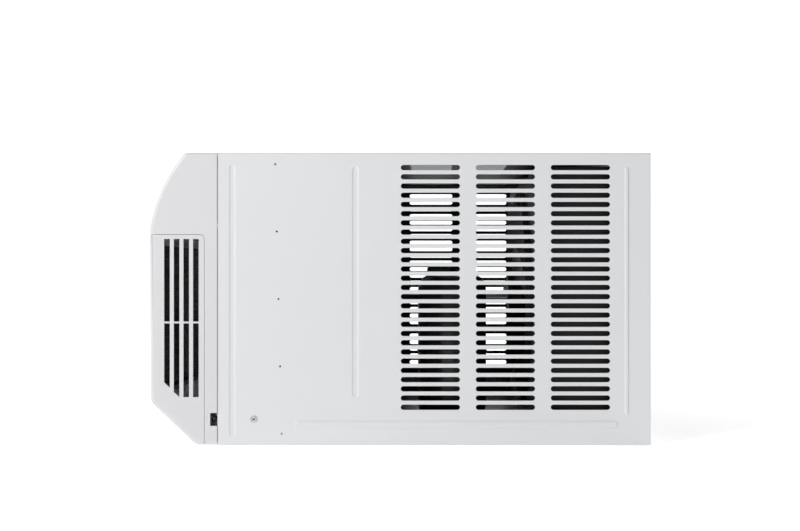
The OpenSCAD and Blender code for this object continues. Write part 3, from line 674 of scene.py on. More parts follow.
class Repeats:
    """The three trees that repeat a template or follow a path."""

    def __init__(self) -> None:
        """Lays out the trees."""
        self.grid_tree, self.ring_tree, self.pipe_tree = self._grid(), self._ring(), self._pipe()

    def _grid(self) -> bpy.types.NodeTree:
        """Copies a template in columns and rows, each copy leaning a little by chance.

        Returns:
            The tree.
        """
        tree = Tree("grid_of_copies", Columns="Int", Rows="Int", Column_Pitch="Vector", Row_Pitch="Vector",
                    Lean="Vector", Seed="Int")
        row = tree.make("GeometryNodeMeshLine", {"mode": "OFFSET"}, {"Count": "Columns", "Offset": "Column Pitch"})
        rows = tree.make("GeometryNodeMeshLine", {"mode": "OFFSET"}, {"Count": "Rows", "Offset": "Row Pitch"})
        places = tree.make("GeometryNodeInstanceOnPoints", {}, {"Points": rows, "Instance": row})
        places = tree.make("GeometryNodeRealizeInstances", {}, {"Geometry": places})
        back = tree.make("ShaderNodeVectorMath", {"operation": "SCALE"}, {0: "Lean", "Scale": -1.0})
        lean = tree.make("FunctionNodeRandomValue", {"data_type": "FLOAT_VECTOR"},
                         {0: back, 1: "Lean", "Seed": "Seed"})
        turn = tree.make("FunctionNodeEulerToRotation", {}, {0: lean})
        return tree.close(tree.make("GeometryNodeInstanceOnPoints", {},
                                    {"Points": places, "Instance": "Geometry", "Rotation": turn}))

    def _ring(self) -> bpy.types.NodeTree:
        """Copies a template round the Y axis through a centre.

        Returns:
            The tree.
        """
        tree = Tree("ring_of_copies", Count="Int", Centre="Vector")
        line = tree.make("GeometryNodeMeshLine", {"mode": "OFFSET"},
                         {"Count": "Count", "Start Location": "Centre", "Offset": (0.0, 0.0, 0.0)})
        index = tree.make("GeometryNodeInputIndex", {}, {})
        share = tree.make("ShaderNodeMath", {"operation": "DIVIDE"}, {0: index, 1: "Count"})
        angle = tree.make("ShaderNodeMath", {"operation": "MULTIPLY"}, {0: share, 1: math.tau})
        turn = tree.make("FunctionNodeEulerToRotation", {}, {0: tree.make("ShaderNodeCombineXYZ", {}, {"Y": angle})})
        return tree.close(tree.make("GeometryNodeInstanceOnPoints", {},
                                    {"Points": line, "Instance": "Geometry", "Rotation": turn}))

    def _pipe(self) -> bpy.types.NodeTree:
        """Runs a round pipe along a path, with a bend in each corner.

        Returns:
            The tree.
        """
        tree = Tree("pipe_run", Radius="Float", Bend="Float")
        path = tree.make("GeometryNodeMeshToCurve", {}, {"Mesh": "Geometry"})
        bent = tree.make("GeometryNodeFilletCurve", {"mode": "POLY"},
                         {"Curve": path, "Count": 6, "Radius": "Bend", "Limit Radius": True})
        round_ = tree.make("GeometryNodeCurvePrimitiveCircle", {}, {"Resolution": 16, "Radius": "Radius"})
        return tree.close(tree.make("GeometryNodeCurveToMesh", {},
                                    {"Curve": bent, "Profile Curve": round_, "Fill Caps": True}))

    @staticmethod
    def run(piece: bpy.types.Object, tree: bpy.types.NodeTree, **sizes: object) -> bpy.types.Object:
        """Runs a tree on a piece and keeps the plain result.

        Args:
            piece: The template.
            tree: The tree.
            sizes: The tree's inputs by name; an underscore stands for a space.

        Returns:
            The piece with its new mesh.
        """
        step = piece.modifiers.new(tree.name, "NODES")
        step.node_group = tree
        keys = {s.name: s.identifier for s in tree.interface.items_tree if s.in_out == "INPUT"}
        for name, value in sizes.items():
            step[keys[name.replace("_", " ")]] = value
        return evaluated(piece)

    def grid(self, piece: bpy.types.Object, columns: int, rows: int, column_pitch: Sequence[float],
             row_pitch: Sequence[float], slot: str, lean: Sequence[float] = (0.0, 0.0, 0.0)) -> bpy.types.Object:
        """Copies a piece in columns and rows."""
        return self.run(piece, self.grid_tree, Columns=columns, Rows=rows, Column_Pitch=tuple(column_pitch),
                        Row_Pitch=tuple(row_pitch), Lean=tuple(lean), Seed=TREE_SEED, Material=MATERIALS[slot])

    def ring(self, piece: bpy.types.Object, count: int, centre: Sequence[float], slot: str) -> bpy.types.Object:
        """Copies a piece round the motor's axis."""
        return self.run(piece, self.ring_tree, Count=count, Centre=tuple(centre), Material=MATERIALS[slot])

    def pipe(self, name: str, path: Sequence[Sequence[float]], radius: float, bend: float,
             slot: str) -> bpy.types.Object:
        """Runs a pipe along a path.

        Args:
            name: The piece's name.
            path: Its corners in millimetres.
            radius: The pipe's radius.
            bend: The radius of its bends.
            slot: Its material slot.

        Returns:
            The pipe.
        """
        mesh = bpy.data.meshes.new(name)
        mesh.from_pydata([tuple(c * MM for c in p) for p in path], [(i, i + 1) for i in range(len(path) - 1)], [])
        return self.run(placed(name, mesh), self.pipe_tree, Radius=radius, Bend=bend, Material=MATERIALS[slot])


def joined(name: str, *parts: bpy.types.Object, own: Form | None = None) -> bpy.types.Object:
    """Makes one piece of several and removes them.

    Args:
        name: The new piece's name.
        parts: The pieces to join.
        own: More faces to add.

    Returns:
        The new piece.
    """
    form = own or Form()
    for part in parts:
        form.mesh(part.data)
        bpy.data.objects.remove(part)
    return form.piece(name)


# ---- Mouldings taken from the frame ----


@dataclass
class Moulding:
    """A moulded or pressed part: the frame's shape with its edges rounded."""

    node: str
    body: str
    slot: str
    edge: float = 0.0005
    segments: int = 2
    sharp: float = 30.0
    face_outward: bool = True

    def copy(self) -> bpy.types.Object:
        """A piece with the node's shape, welded.

        Returns:
            The piece.
        """
        body, mesh = bmesh.new(), bpy.data.meshes.new(self.node)
        body.from_mesh(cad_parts[self.node].data)
        bmesh.ops.remove_doubles(body, verts=body.verts, dist=WELD)
        if self.face_outward:
            bmesh.ops.recalc_face_normals(body, faces=body.faces)
        body.to_mesh(mesh)
        body.free()
        return placed(self.node + "_part", mesh)

    def build(self) -> bpy.types.Object:
        """Makes the piece.

        Returns:
            The finished piece.
        """
        piece = self.copy()
        if self.edge:
            bevel = piece.modifiers.new("edge", "BEVEL")
            bevel.width, bevel.segments = self.edge, self.segments
            bevel.limit_method, bevel.angle_limit = "ANGLE", math.radians(self.sharp)
            bevel.use_clamp_overlap = False
            bevel.miter_outer = "MITER_ARC"
            evaluated(piece)
        return dress(piece, self.body, self.slot, (self.node,), 40.0)


@dataclass
class FrontMoulding(Moulding):
    """The fascia shell or the intake grille, with the soft outer corners they share."""

    soft: float = 0.007
    half_width: float = 0.330
    front: float = -0.386
    height: float = 0.450
    brow_y: float = -0.143079
    brow_z: float = 0.292202
    brow: float = 0.246
    crest: float = 0.008
    chin: float = 0.014
    behind: float = -0.250
    face_outward: bool = False

    def outline(self) -> list[tuple[Vector, Vector]]:
        """The side outline from the rear of the top, round the front, to the rear of the floor.

        Returns:
            Points in Y and Z, each with its outward direction.
        """
        reach = self.brow - self.crest
        crest_z = self.height - self.crest
        crest_y = self.brow_y - math.sqrt(reach ** 2 - (crest_z - self.brow_z) ** 2)
        turn = math.degrees(math.atan2(crest_z - self.brow_z, crest_y - self.brow_y))
        low = 180 - math.degrees(math.asin((0.331 - self.brow_z) / self.brow))
        slope = 1 + math.sqrt(2)
        arcs = [(crest_y, crest_z, self.crest, 90, turn, 5), (self.brow_y, self.brow_z, self.brow, turn, low, 16),
                (self.front + 0.0014 + self.chin, 0.067 + self.chin / slope - 0.0003, self.chin, 180, 225, 5),
                (self.front + 0.0695 + self.chin / slope, 0.0008 + self.chin, self.chin, 225, 270, 5)]
        points = [(Vector((self.behind, self.height)), Vector((0, 1)))]
        for y, z, radius, first, last, steps in arcs:
            for k in range(steps + 1):
                angle = math.radians(first + (last - first) * k / steps)
                out = Vector((math.cos(angle), math.sin(angle)))
                points.append((Vector((y, z)) + radius * out, out))
        return points + [(Vector((self.behind, 0.0006)), Vector((0, -1)))]

    def envelope(self) -> bpy.types.Object:
        """A block with the fascia's outline and soft edges at both sides.

        Returns:
            The block.
        """
        form, rings = Form(), []
        steps = [math.radians(90 * k / 7) for k in range(8)]
        rows = [(self.half_width - self.soft * (1 - math.sin(a)), self.soft * (1 - math.cos(a))) for a in steps]
        for x, inset in [(-x, inset) for x, inset in reversed(rows)] + rows:
            rings.append([(x, *(p - out * inset)) for p, out in self.outline()])
        form.loft(rings)
        return form.piece("envelope")

    def build(self) -> bpy.types.Object:
        """Cuts the part to the soft envelope.

        Returns:
            The finished piece.
        """
        piece = self.copy()
        envelope = self.envelope()
        cut = piece.modifiers.new("cut", "BOOLEAN")
        cut.operation, cut.object, cut.solver = "INTERSECT", envelope, "EXACT"
        evaluated(piece)
        bpy.data.objects.remove(envelope)
        return dress(piece, self.body, self.slot, (self.node,), 28.0)


# ---- Cabinet ----


@dataclass
class SheetPanel:
    """A panel of painted sheet with pressed features and small holes."""

    sheet: float = 0.0012
    lip: float = 0.0006

    def features(self, form: Form, place: Place, holes: list[list[Flat]], pressed: Sequence[Pressing]) -> None:
        """Adds grooves and beads.

        Args:
            form: The panel so far.
            place: Puts a flat point at a depth into space.
            holes: Front openings, added to.
            pressed: The grooves and beads.
        """
        for a, b, length, width, upright, depth in pressed:
            slope = min(0.0030, width * 0.30)
            rings = []
            for k in range(7):
                share = k / 6
                reach = 2 * slope * share
                rings.append((capsule(a, b, length - reach, width - reach, upright, 10),
                              depth * (1 - math.cos(math.pi * share)) / 2))
            holes.append(rings[0][0])
            form.tube([[place(u, v, d) for u, v in loop] for loop, d in rings])
            form.skin(rings[-1][0], [], place, depth)

    def drill(self, form: Form, place: Place, hole: list[Flat], *skins: list[list[Flat]]) -> None:
        """Adds the wall of a small hole and opens it in both skins.

        Args:
            form: The panel so far.
            place: Puts a flat point at a depth into space.
            hole: The edge of the hole.
            skins: The openings of each skin, added to.
        """
        for skin in skins:
            skin.append(hole)
        form.tube([[place(u, v, d) for u, v in hole] for d in (0.0, self.sheet)])

    def rim(self, name: str, loop: Callable[[float], list[Flat]], place: Place) -> bpy.types.Object:
        """The rolled rim of one opening.

        Args:
            name: The piece's name.
            loop: Gives the opening's outline, grown by a distance.
            place: Puts a flat point at a depth into space.

        Returns:
            The rim.
        """
        form = Form()
        rows = [(self.lip * (1 - math.sin(math.radians(a))), self.lip * (1 - math.cos(math.radians(a))))
                for a in (0, 30, 60, 90)]
        form.tube([[place(u, v, d) for u, v in loop(grow)] for grow, d in (*rows, (0.0, self.sheet))])
        return form.piece(name)


class Side(Enum):
    """The two sides of the unit, by the sign of X."""

    LEFT = -1.0
    RIGHT = 1.0


@dataclass
class Cabinet(SheetPanel):
    """The sleeve: side panels, top, floor, rear frame, rails and screws."""

    wall: float = 0.3285
    height: float = 0.450
    front: float = -0.2808
    rear: float = 0.386
    bend: float = 0.004
    wrap: float = 0.014
    slot_len: float = 0.091
    slot_high: float = 0.008
    slot_pitch: float = 0.01418
    slot_rows: int = 27
    slot_cols: int = 3
    col_pitch: float = 0.1154
    first_y: float = 0.0467
    first_z: float = 0.0581
    front_groove: Pressing = (-0.2582, 0.222, 0.420, 0.0104, True, 0.00115)
    middle_groove: Pressing = (-0.0688, 0.25085, 0.3563, 0.0112, True, 0.00115)
    rear_bead: Pressing = (0.3487, 0.23675, 0.3815, 0.0070, True, -0.0015)
    low_bead: Pressing = (0.0868, 0.032, 0.499, 0.0120, False, -0.0015)
    top_hole: Flat = (-0.192, 0.432)
    low_hole: Flat = (-0.182, 0.0174)
    hole_radius: float = 0.0015
    top_middle: float = 0.100
    top_slots: int = 21
    top_slot_len: float = 0.0736
    top_rows_y: Flat = (0.0473, 0.141)
    sash_pitch: float = 0.160
    sash_y: float = -0.245
    sash_radius: float = 0.002
    screw_y: float = -0.2247
    screw_z: float = 0.040
    screw_radius: float = 0.0059
    screw_high: float = 0.0015
    rear_screw: Flat = (0.311, 0.060)
    rear_screw_radius: float = 0.0045
    rear_screw_pitch: float = 0.170

    def side(self, repeats: Repeats, which: Side) -> bpy.types.Object:
        """One side panel.

        Args:
            repeats: The trees that repeat.
            which: Which side it closes.

        Returns:
            The panel.
        """
        def place(u: float, v: float, d: float) -> Vector:
            """Puts a point of the panel's face into space."""
            return Vector((which.value * (self.wall - d), u, v))

        form, top = Form(), self.height - self.bend

        def slot(grow: float) -> list[Flat]:
            """The first louvre slot."""
            return capsule(self.first_y, self.first_z, self.slot_len + 2 * grow, self.slot_high + 2 * grow)

        slots = repeats.grid(self.rim("rim", slot, place), self.slot_cols, self.slot_rows,
                             (0.0, self.col_pitch, 0.0), (0.0, 0.0, self.slot_pitch), "cabinet_paint")
        steps = [(c * self.col_pitch, r * self.slot_pitch)
                 for c in range(self.slot_cols) for r in range(self.slot_rows)]
        fronts = [[(u + a, v + b) for u, v in slot(self.lip)] for a, b in steps]
        backs = [[(u + a, v + b) for u, v in slot(0.0)] for a, b in steps]
        self.features(form, place, fronts, (self.front_groove, self.middle_groove, self.rear_bead, self.low_bead))
        (y0, z0), (y1, z1) = self.top_hole, self.low_hole
        for share in (0.0, 0.25, 0.5, 0.75, 1.0):
            hole = disc(y0 + (y1 - y0) * share, z0 + (z1 - z0) * share, self.hole_radius)
            self.drill(form, place, hole, fronts, backs)
        outline = [(self.front, 0.0), (self.rear, 0.0), (self.rear, top), (self.front, top)]
        form.skin(outline, fronts, place, 0.0)
        form.skin(outline, backs, place, self.sheet)
        for a, b in zip(outline, outline[1:] + outline[:1]):
            if (a[1], b[1]) != (top, top):
                corners = ((a, 0.0), (b, 0.0), (b, self.sheet), (a, self.sheet))
                form.faces.append(tuple(form.ring([place(*p, d) for p, d in corners])))
        outer, inner = [], []
        for k in range(9):
            angle = math.radians(90 * k / 8)
            for row, r in ((outer, self.bend), (inner, self.bend - self.sheet)):
                row.append((self.bend - r * math.cos(angle), top + r * math.sin(angle)))
        outer.append((self.wrap, self.height))
        inner.append((self.wrap, self.height - self.sheet))
        ends = [[form.ring([place(y, v, d) for d, v in row]) for row in (outer, inner)]
                for y in (self.front, self.rear)]
        for i in (0, 1):
            form.bridge(ends[0][i], ends[1][i], closed=False)
        for end in ends:
            form.bridge(*end, closed=False)
        form.faces.append((ends[0][0][-1], ends[1][0][-1], ends[1][1][-1], ends[0][1][-1]))
        name = "side_panel_" + which.name.lower()
        # The back of the sheet and the walls of its slots and holes are painted black as shade.
        return dress(joined(name + "_sheet", slots, own=form), "cabinet", "cabinet_paint", (name,), 35.0, self.inside)

    def inside(self, at: Vector) -> bool:
        """Whether a face of a side panel gets painted shade: its back, and the walls of slots and holes.

        Args:
            at: The middle of the face.

        Returns:
            Whether it gets the painted shade.
        """
        depth = (self.wall - abs(at.x)) / self.sheet
        bored = -0.20 < at.y < -0.17 and depth > 0.3
        return at.z < self.height - self.bend and (depth > 0.98 or (at.y > 0.0 and depth > 0.7) or bored)

    def top(self, repeats: Repeats) -> bpy.types.Object:
        """The top panel with its two groups of louvre slots.

        Args:
            repeats: The trees that repeat.

        Returns:
            The panel.
        """
        form, edge = Form(), self.wall - self.wrap - 0.0003

        def place(u: float, v: float, d: float) -> Vector:
            """Puts a point of the panel's face into space."""
            return Vector((u, v, self.height - d))

        count, fronts, backs, rims = self.top_slots, [], [], []
        first = self.top_middle - (count - 1) / 2 * self.slot_pitch
        for y in self.top_rows_y:
            def slot(grow: float, y: float = y) -> list[Flat]:
                """The first slot of a group."""
                return capsule(first, y, self.top_slot_len + 2 * grow, self.slot_high + 2 * grow, True)

            rims.append(repeats.grid(self.rim("rim", slot, place), count, 1, (self.slot_pitch, 0.0, 0.0),
                                     (0.0, 0.0, 0.0), "cabinet_paint"))
            for i in range(count):
                fronts.append([(u + i * self.slot_pitch, v) for u, v in slot(self.lip)])
                backs.append([(u + i * self.slot_pitch, v) for u, v in slot(0.0)])
        for i in (-1.5, -0.5, 0.5, 1.5):
            self.drill(form, place, disc(i * self.sash_pitch, self.sash_y, self.sash_radius), fronts, backs)
        outline = [(-edge, self.front), (edge, self.front), (edge, self.rear), (-edge, self.rear)]
        form.skin(outline, fronts, place, 0.0)
        form.skin(outline, backs, place, self.sheet)
        form.tube([[place(*p, d) for p in outline] for d in (0.0, self.sheet)])
        for sign in (-1, 1):
            low, high = sorted((sign * (edge - 0.006), sign * (self.wall - 0.0016)))
            form.slab((low, self.front, self.height - 0.0027),
                      (high, self.rear - 0.004, self.height - self.sheet - 0.0001))
        # Faces below the top skin (its underside, the lower slot walls and the strips under its edges) are painted
        # black as shade.
        return dress(joined("top_panel_sheet", *rims, own=form), "cabinet", "cabinet_paint", ("top_panel",), 35.0,
                     lambda at: at.z < self.height - self.sheet * 0.9)

    def screw(self, name: str, at: Matrix, radius: float, high: float) -> bpy.types.Object:
        """One washer-head screw with a cross recess, its axis along +Z before it is placed.

        Args:
            name: The piece's name.
            at: Where it goes.
            radius: The washer's radius.
            high: The head's height.

        Returns:
            The screw.
        """
        form = Form()

        def place(u: float, v: float, d: float) -> Vector:
            """Puts a point of the head's top into space."""
            return at @ Vector((u, v, high - d))

        dome, steps = radius * 0.60, 32
        rows = [(radius, 0.0), (radius, high * 0.28), (radius * 0.95, high * 0.42), (radius * 0.70, high * 0.46),
                (radius * 0.66, high * 0.8), (dome, high)]
        rings = form.tube([[place(u, v, high - h) for u, v in disc(0, 0, r, steps)] for r, h in rows])
        form.faces.append(tuple(rings[0]))
        arm, wide = radius * 0.30, radius * 0.10
        cross = [(arm, wide), (wide, wide), (wide, arm), (-wide, arm), (-wide, wide), (-arm, wide),
                 (-arm, -wide), (-wide, -wide), (-wide, -arm), (wide, -arm), (wide, -wide), (arm, -wide)]
        form.skin(disc(0, 0, dome, steps), [cross], place, 0.0)
        floor = [(u * 0.7, v * 0.7) for u, v in cross]
        form.tube([[place(*p, 0.0) for p in cross], [place(*p, high * 0.9) for p in floor]])
        form.skin(floor, [], place, high * 0.9)
        return form.piece(name)

    def screws(self, repeats: Repeats) -> bpy.types.Object:
        """The side screws and the two columns at the rear.

        Args:
            repeats: The trees that repeat.

        Returns:
            The screws.
        """
        parts = []
        for which in (Side.RIGHT, Side.LEFT):
            at = Matrix.Translation((which.value * self.wall, self.screw_y, self.screw_z))
            turn = Matrix.Rotation(which.value * math.pi / 2, 4, "Y")
            parts.append(self.screw(which.name.lower(), at @ turn, self.screw_radius, self.screw_high))
        x, z = self.rear_screw
        at = Matrix.Translation((-x, self.rear - self.screw_high, z)) @ Matrix.Rotation(-math.pi / 2, 4, "X")
        rear = self.screw("rear", at, self.rear_screw_radius, self.screw_high)
        parts.append(repeats.grid(rear, 2, 3, (2 * x, 0.0, 0.0), (0.0, 0.0, self.rear_screw_pitch), "screw_steel"))
        # The cross recess of each side screw is painted black as shade.
        return dress(joined("cabinet_screw_heads", *parts), "cabinet", "screw_steel", ("cabinet_screws",), 32.0,
                     lambda at: self.wall < abs(at.x) < self.wall + 0.00145
                     and math.hypot(at.y - self.screw_y, at.z - self.screw_z) < 0.0019)

    def build(self, repeats: Repeats) -> None:
        """Builds the whole cabinet.

        Args:
            repeats: The trees that repeat.
        """
        for which in (Side.RIGHT, Side.LEFT):
            self.side(repeats, which)
        self.top(repeats)
        self.screws(repeats)
        for node, slot in (("sleeve_floor", "zinc_steel"), ("rear_frame", "cabinet_paint"),
                           ("slide_rails", "runner_nylon")):
            Moulding(node, "cabinet", slot, 0.0003).build()


# ---- Chassis ----


@dataclass
class Coil:
    """A finned coil: thin fins, end plates and return bends."""

    name: str
    low: tuple[float, float, float]
    high: tuple[float, float, float]
    first_bend: float
    bends: int
    pitch: float = 0.0021
    tube_pitch: float = 0.0127
    row_gap: float = 0.025
    row_at: float = 0.015

    def build(self, repeats: Repeats) -> None:
        """Builds the fins and bends, and softens the end plates.

        Args:
            repeats: The trees that repeat.
        """
        form, (x0, y0, z0), (x1, y1, z1) = Form(), self.low, self.high
        waves, step = 12, (y1 - y0) / 12
        front = [(x0 + (0.0004 if k % 2 else 0.0), y0 + step * k) for k in range(waves + 1)]
        loop = front + [(x + 0.00025, y) for x, y in reversed(front)]
        form.loft([[(x, y, z) for x, y in loop] for z in (z0, z1)])
        count = int((x1 - x0 - 0.001) / self.pitch)
        fins = repeats.grid(form.piece("fin"), count, 1, (self.pitch, 0, 0), (0, 0, 0), "fin_aluminium",
                            (0.0, 0.0, 0.004))
        rods = Form()
        rods.turn([(0.0044, x0), (0.0044, x1)], 10, Matrix.Translation((0, y0 + self.row_at, self.first_bend))
                  @ Matrix.Rotation(math.pi / 2, 4, "Y"))
        rows = int((z1 - self.first_bend) / self.tube_pitch)
        tubes = repeats.grid(rods.piece("rods"), 2, rows, (0, self.row_gap, 0), (0, 0, self.tube_pitch), "copper")
        dress(fins, "chassis", "fin_aluminium", (self.name + "_fins",))
        fins.name = self.name + "_fin_pack"
        dress(tubes, "chassis", "copper")
        tubes.name = self.name + "_tubes"
        parts = []
        for sign in (-1, 1):
            bend, r = Form(), 0.0084
            rings = []
            for k in range(11):
                a = math.radians(-90 + 18 * k)
                centre = Vector((sign * (x1 + 0.0015 + r * math.cos(a)), 0, r * math.sin(a)))
                out = Vector((sign * math.cos(a), 0, math.sin(a)))
                rings.append([centre + 0.0038 * (out * math.cos(t) + Vector((0, 1, 0)) * math.sin(t))
                              for t in (math.tau * i / 14 for i in range(14))])
            bend.loft(rings)
            for p in bend.points:
                p += Vector((0, y0 + self.row_at, self.first_bend))
            parts.append(repeats.grid(bend.piece("bend"), 2, self.bends, (0, self.row_gap, 0),
                                      (0, 0, 2 * self.tube_pitch), "copper"))
        dress(joined(self.name + "_return_bends", *parts), "chassis", "copper", (self.name + "_bends",), 60.0)
        Moulding(self.name + "_plates", "chassis", "fin_aluminium", 0.0003).build()


@dataclass
class Refrigeration:
    """Coils, compressor, accumulator and their pipes."""

    roof: float = 437.0
    pipe_y: float = 348.0
    can_x: float = 0.185
    can_y: float = 0.0825
    stud_ring: float = 0.018

    def build(self, repeats: Repeats) -> None:
        """Builds the refrigerant circuit.

        Args:
            repeats: The trees that repeat.
        """
        Coil("evaporator", (-0.286, -0.272, 0.048), (0.286, -0.222, 0.318), 0.088, 8).build(repeats)
        Coil("condenser", (-0.290, 0.302, 0.014), (0.290, 0.362, 0.424), 0.090, 12, 0.0023).build(repeats)
        x, y = self.can_x / MM, self.can_y / MM
        sleeved = [
            repeats.pipe("discharge", [(x, y, 258), (x, y, 276), (x, 104, 276), (x, 104, self.roof),
                                       (299, 104, self.roof), (299, self.pipe_y, self.roof),
                                       (299, self.pipe_y, 408), (291, self.pipe_y, 408)], 0.004, 0.012, "rubber"),
            repeats.pipe("suction", [(98, 60, 200), (98, 60, 221), (98, -70, 221), (306, -70, 221), (306, -247, 221),
                                     (306, -247, 304), (287, -247, 304)], 0.0048, 0.014, "rubber"),
            repeats.pipe("liquid", [(-291, self.pipe_y, 58), (-318, self.pipe_y, 58), (-318, -247, 58),
                                    (-287, -247, 58)], 0.0032, 0.012, "rubber")]
        dress(joined("sleeved_pipes", *sleeved), "chassis", "rubber", ("refrigerant_lines",), 50.0)
        shell = Form()
        profile = [(0.004, 0.027), (0.041, 0.027), (0.051, 0.031), (0.0558, 0.040), (0.0568, 0.050),
                   (0.0568, 0.132), (0.0573, 0.134), (0.0580, 0.135), (0.0580, 0.141), (0.0573, 0.142),
                   (0.0568, 0.144), (0.0568, 0.236), (0.0555, 0.247), (0.051, 0.255), (0.042, 0.2605),
                   (0.028, 0.262), (0.004, 0.262)]
        shell.turn(profile, 56, Matrix.Translation((self.can_x, self.can_y, 0.0)))
        for k in range(3):
            angle = math.tau * k / 3 + 0.4
            at = Vector((self.can_x + self.stud_ring * math.cos(angle),
                         self.can_y + self.stud_ring * math.sin(angle), 0.2615))
            shell.turn([(0.004, 0.0), (0.004, 0.006), (0.0012, 0.006), (0.0012, 0.011)], 12, Matrix.Translation(at))
        dress(shell.piece("compressor_can"), "chassis", "black_enamel", ("compressor_shell",), 40.0)
        for node, slot, edge in (("compressor_feet", "black_enamel", 0.0006),
                                 ("compressor_grommets", "rubber", 0.0006), ("accumulator", "black_enamel", 0.0)):
            Moulding(node, "chassis", slot, edge).build()


@dataclass
class Airways:
    """Motor, wheels, housings and shroud."""

    axis_z: float = 0.219
    blower_radius: float = 0.112
    blower_y: tuple[float, float] = (-0.2045, -0.110)
    fan_radius: float = 0.186
    fan_y: tuple[float, float] = (0.188, 0.222)
    fan_blades: int = 5
    blower_blades: int = 32
    motor_y: tuple[float, float] = (0.040, 0.120)

    def _axis(self) -> Matrix:
        """Turns +Z into +Y on the motor's axis."""
        return Matrix.Translation((0, 0, self.axis_z)) @ Matrix.Rotation(-math.pi / 2, 4, "X")

    def _blade(self, name: str, rows: Sequence[tuple[Vector, Vector, float]], thick: float) -> bpy.types.Object:
        """A blade skinned over its stations.

        Args:
            name: The piece's name.
            rows: Leading edge, trailing edge and belly of each station.
            thick: The blade's thickness.

        Returns:
            The blade, round the origin.
        """
        form, rings = Form(), []
        for lead, trail, belly in rows:
            chord = trail - lead
            radial = Vector((lead.x + trail.x, 0, lead.z + trail.z)).normalized()
            normal = radial.cross(chord).normalized()
            upper, lower = [], []
            for k in range(9):
                share = k / 8
                mid = lead + chord * share + normal * (belly * 4 * share * (1 - share))
                half = thick / 2 * (0.35 + 0.65 * math.sin(math.pi * share) ** 0.5 if 0 < k < 8 else 0.35)
                upper.append(mid + normal * half)
                lower.append(mid - normal * half)
            rings.append(upper + lower[::-1])
        form.loft(rings)
        return form.piece(name)

    def condenser_fan(self, repeats: Repeats) -> bpy.types.Object:
        """The outdoor fan with its slinger ring.

        Args:
            repeats: The trees that repeat.

        Returns:
            The fan.
        """
        rows = []
        for k in range(7):
            r = 0.026 + (self.fan_radius - 0.003 - 0.026) * k / 6
            half, pitch = math.radians(29 - 5 * k / 6), 0.015 - 0.002 * k / 6
            sweep = math.radians(10 * (k / 6) ** 2)
            lead = Vector((r * math.sin(-half + sweep), 0.205 - pitch, r * math.cos(-half + sweep)))
            trail = Vector((r * math.sin(half + sweep), 0.205 + pitch, r * math.cos(half + sweep)))
            rows.append((lead, trail, 0.004 if k else 0.002))
        blades = repeats.ring(self._blade("blade", rows, 0.0024), self.fan_blades, (0, 0, self.axis_z),
                              "black_plastic")
        form = Form()
        y0, y1 = self.fan_y
        form.turn([(0.006, y0), (0.026, y0), (0.029, y0 + 0.002), (0.030, y0 + 0.005), (0.030, y1 - 0.002),
                   (0.028, y1), (0.006, y1), (0.006, y0)], 48, self._axis())
        r = self.fan_radius
        form.turn([(r - 0.004, 0.2075), (r - 0.001, 0.207), (r, 0.2085), (r, 0.2195), (r - 0.001, 0.221),
                   (r - 0.003, 0.221), (r - 0.004, 0.2195), (r - 0.004, 0.2075)], 96, self._axis())
        return dress(joined("outdoor_fan", blades, own=form), "fan", "black_plastic", ("condenser_fan",), 40.0)

    def blower(self, repeats: Repeats) -> bpy.types.Object:
        """The forward-curved blower wheel.

        Args:
            repeats: The trees that repeat.

        Returns:
            The wheel.
        """
        y0, y1 = self.blower_y
        r0, r1 = self.blower_radius - 0.014, self.blower_radius - 0.001
        rows = []
        for y in (y0 + 0.001, y1 - 0.001):
            lead, trail = Vector((0.0, y, r0)), Vector((0.0065, y, r1 - 0.0003))
            rows.append((lead, trail))
        form, rings = Form(), []
        for lead, trail in rows:
            chord, side = trail - lead, Vector((-1, 0, 0.45)).normalized()
            arc = [lead + chord * (k / 6) + side * (0.0026 * 4 * (k / 6) * (1 - k / 6)) for k in range(7)]
            rings.append(arc + [p + Vector((0.0009, 0, 0)) for p in reversed(arc)])
        form.loft(rings)
        blades = repeats.ring(form.piece("vane"), self.blower_blades, (0, 0, self.axis_z), "black_plastic")
        wheel, r = Form(), self.blower_radius
        wheel.turn([(0.006, y1 - 0.034), (0.015, y1 - 0.034), (0.017, y1 - 0.030), (0.018, y1 - 0.006),
                    (0.024, y1 - 0.0025), (r - 0.001, y1 - 0.0025), (r, y1 - 0.0015), (r, y1), (0.006, y1),
                    (0.006, y1 - 0.034)], 64, self._axis())
        wheel.turn([(r - 0.014, y0 + 0.001), (r - 0.013, y0), (r - 0.001, y0), (r, y0 + 0.001), (r, y0 + 0.004),
                    (r - 0.014, y0 + 0.004), (r - 0.014, y0 + 0.001)], 64, self._axis())
        return dress(joined("indoor_wheel", blades, own=wheel), "fan", "black_plastic", ("blower_wheel",), 40.0)

    def motor(self) -> bpy.types.Object:
        """The motor's can with its seam and end bells.

        Returns:
            The can.
        """
        form, (y0, y1) = Form(), self.motor_y
        form.turn([(0.007, y0 - 0.008), (0.028, y0 - 0.008), (0.030, y0 - 0.006), (0.030, y0 - 0.001), (0.052, y0),
                   (0.058, y0 + 0.002), (0.060, y0 + 0.006), (0.060, 0.078), (0.0592, 0.079), (0.0592, 0.081),
                   (0.060, 0.082), (0.060, y1 - 0.006), (0.058, y1 - 0.002), (0.052, y1), (0.030, y1 + 0.001),
                   (0.030, y1 + 0.006), (0.028, y1 + 0.008), (0.007, y1 + 0.008), (0.007, y0 - 0.008)],
                  64, self._axis())
        return dress(form.piece("motor_can"), "chassis", "black_enamel", ("motor_housing",), 40.0)

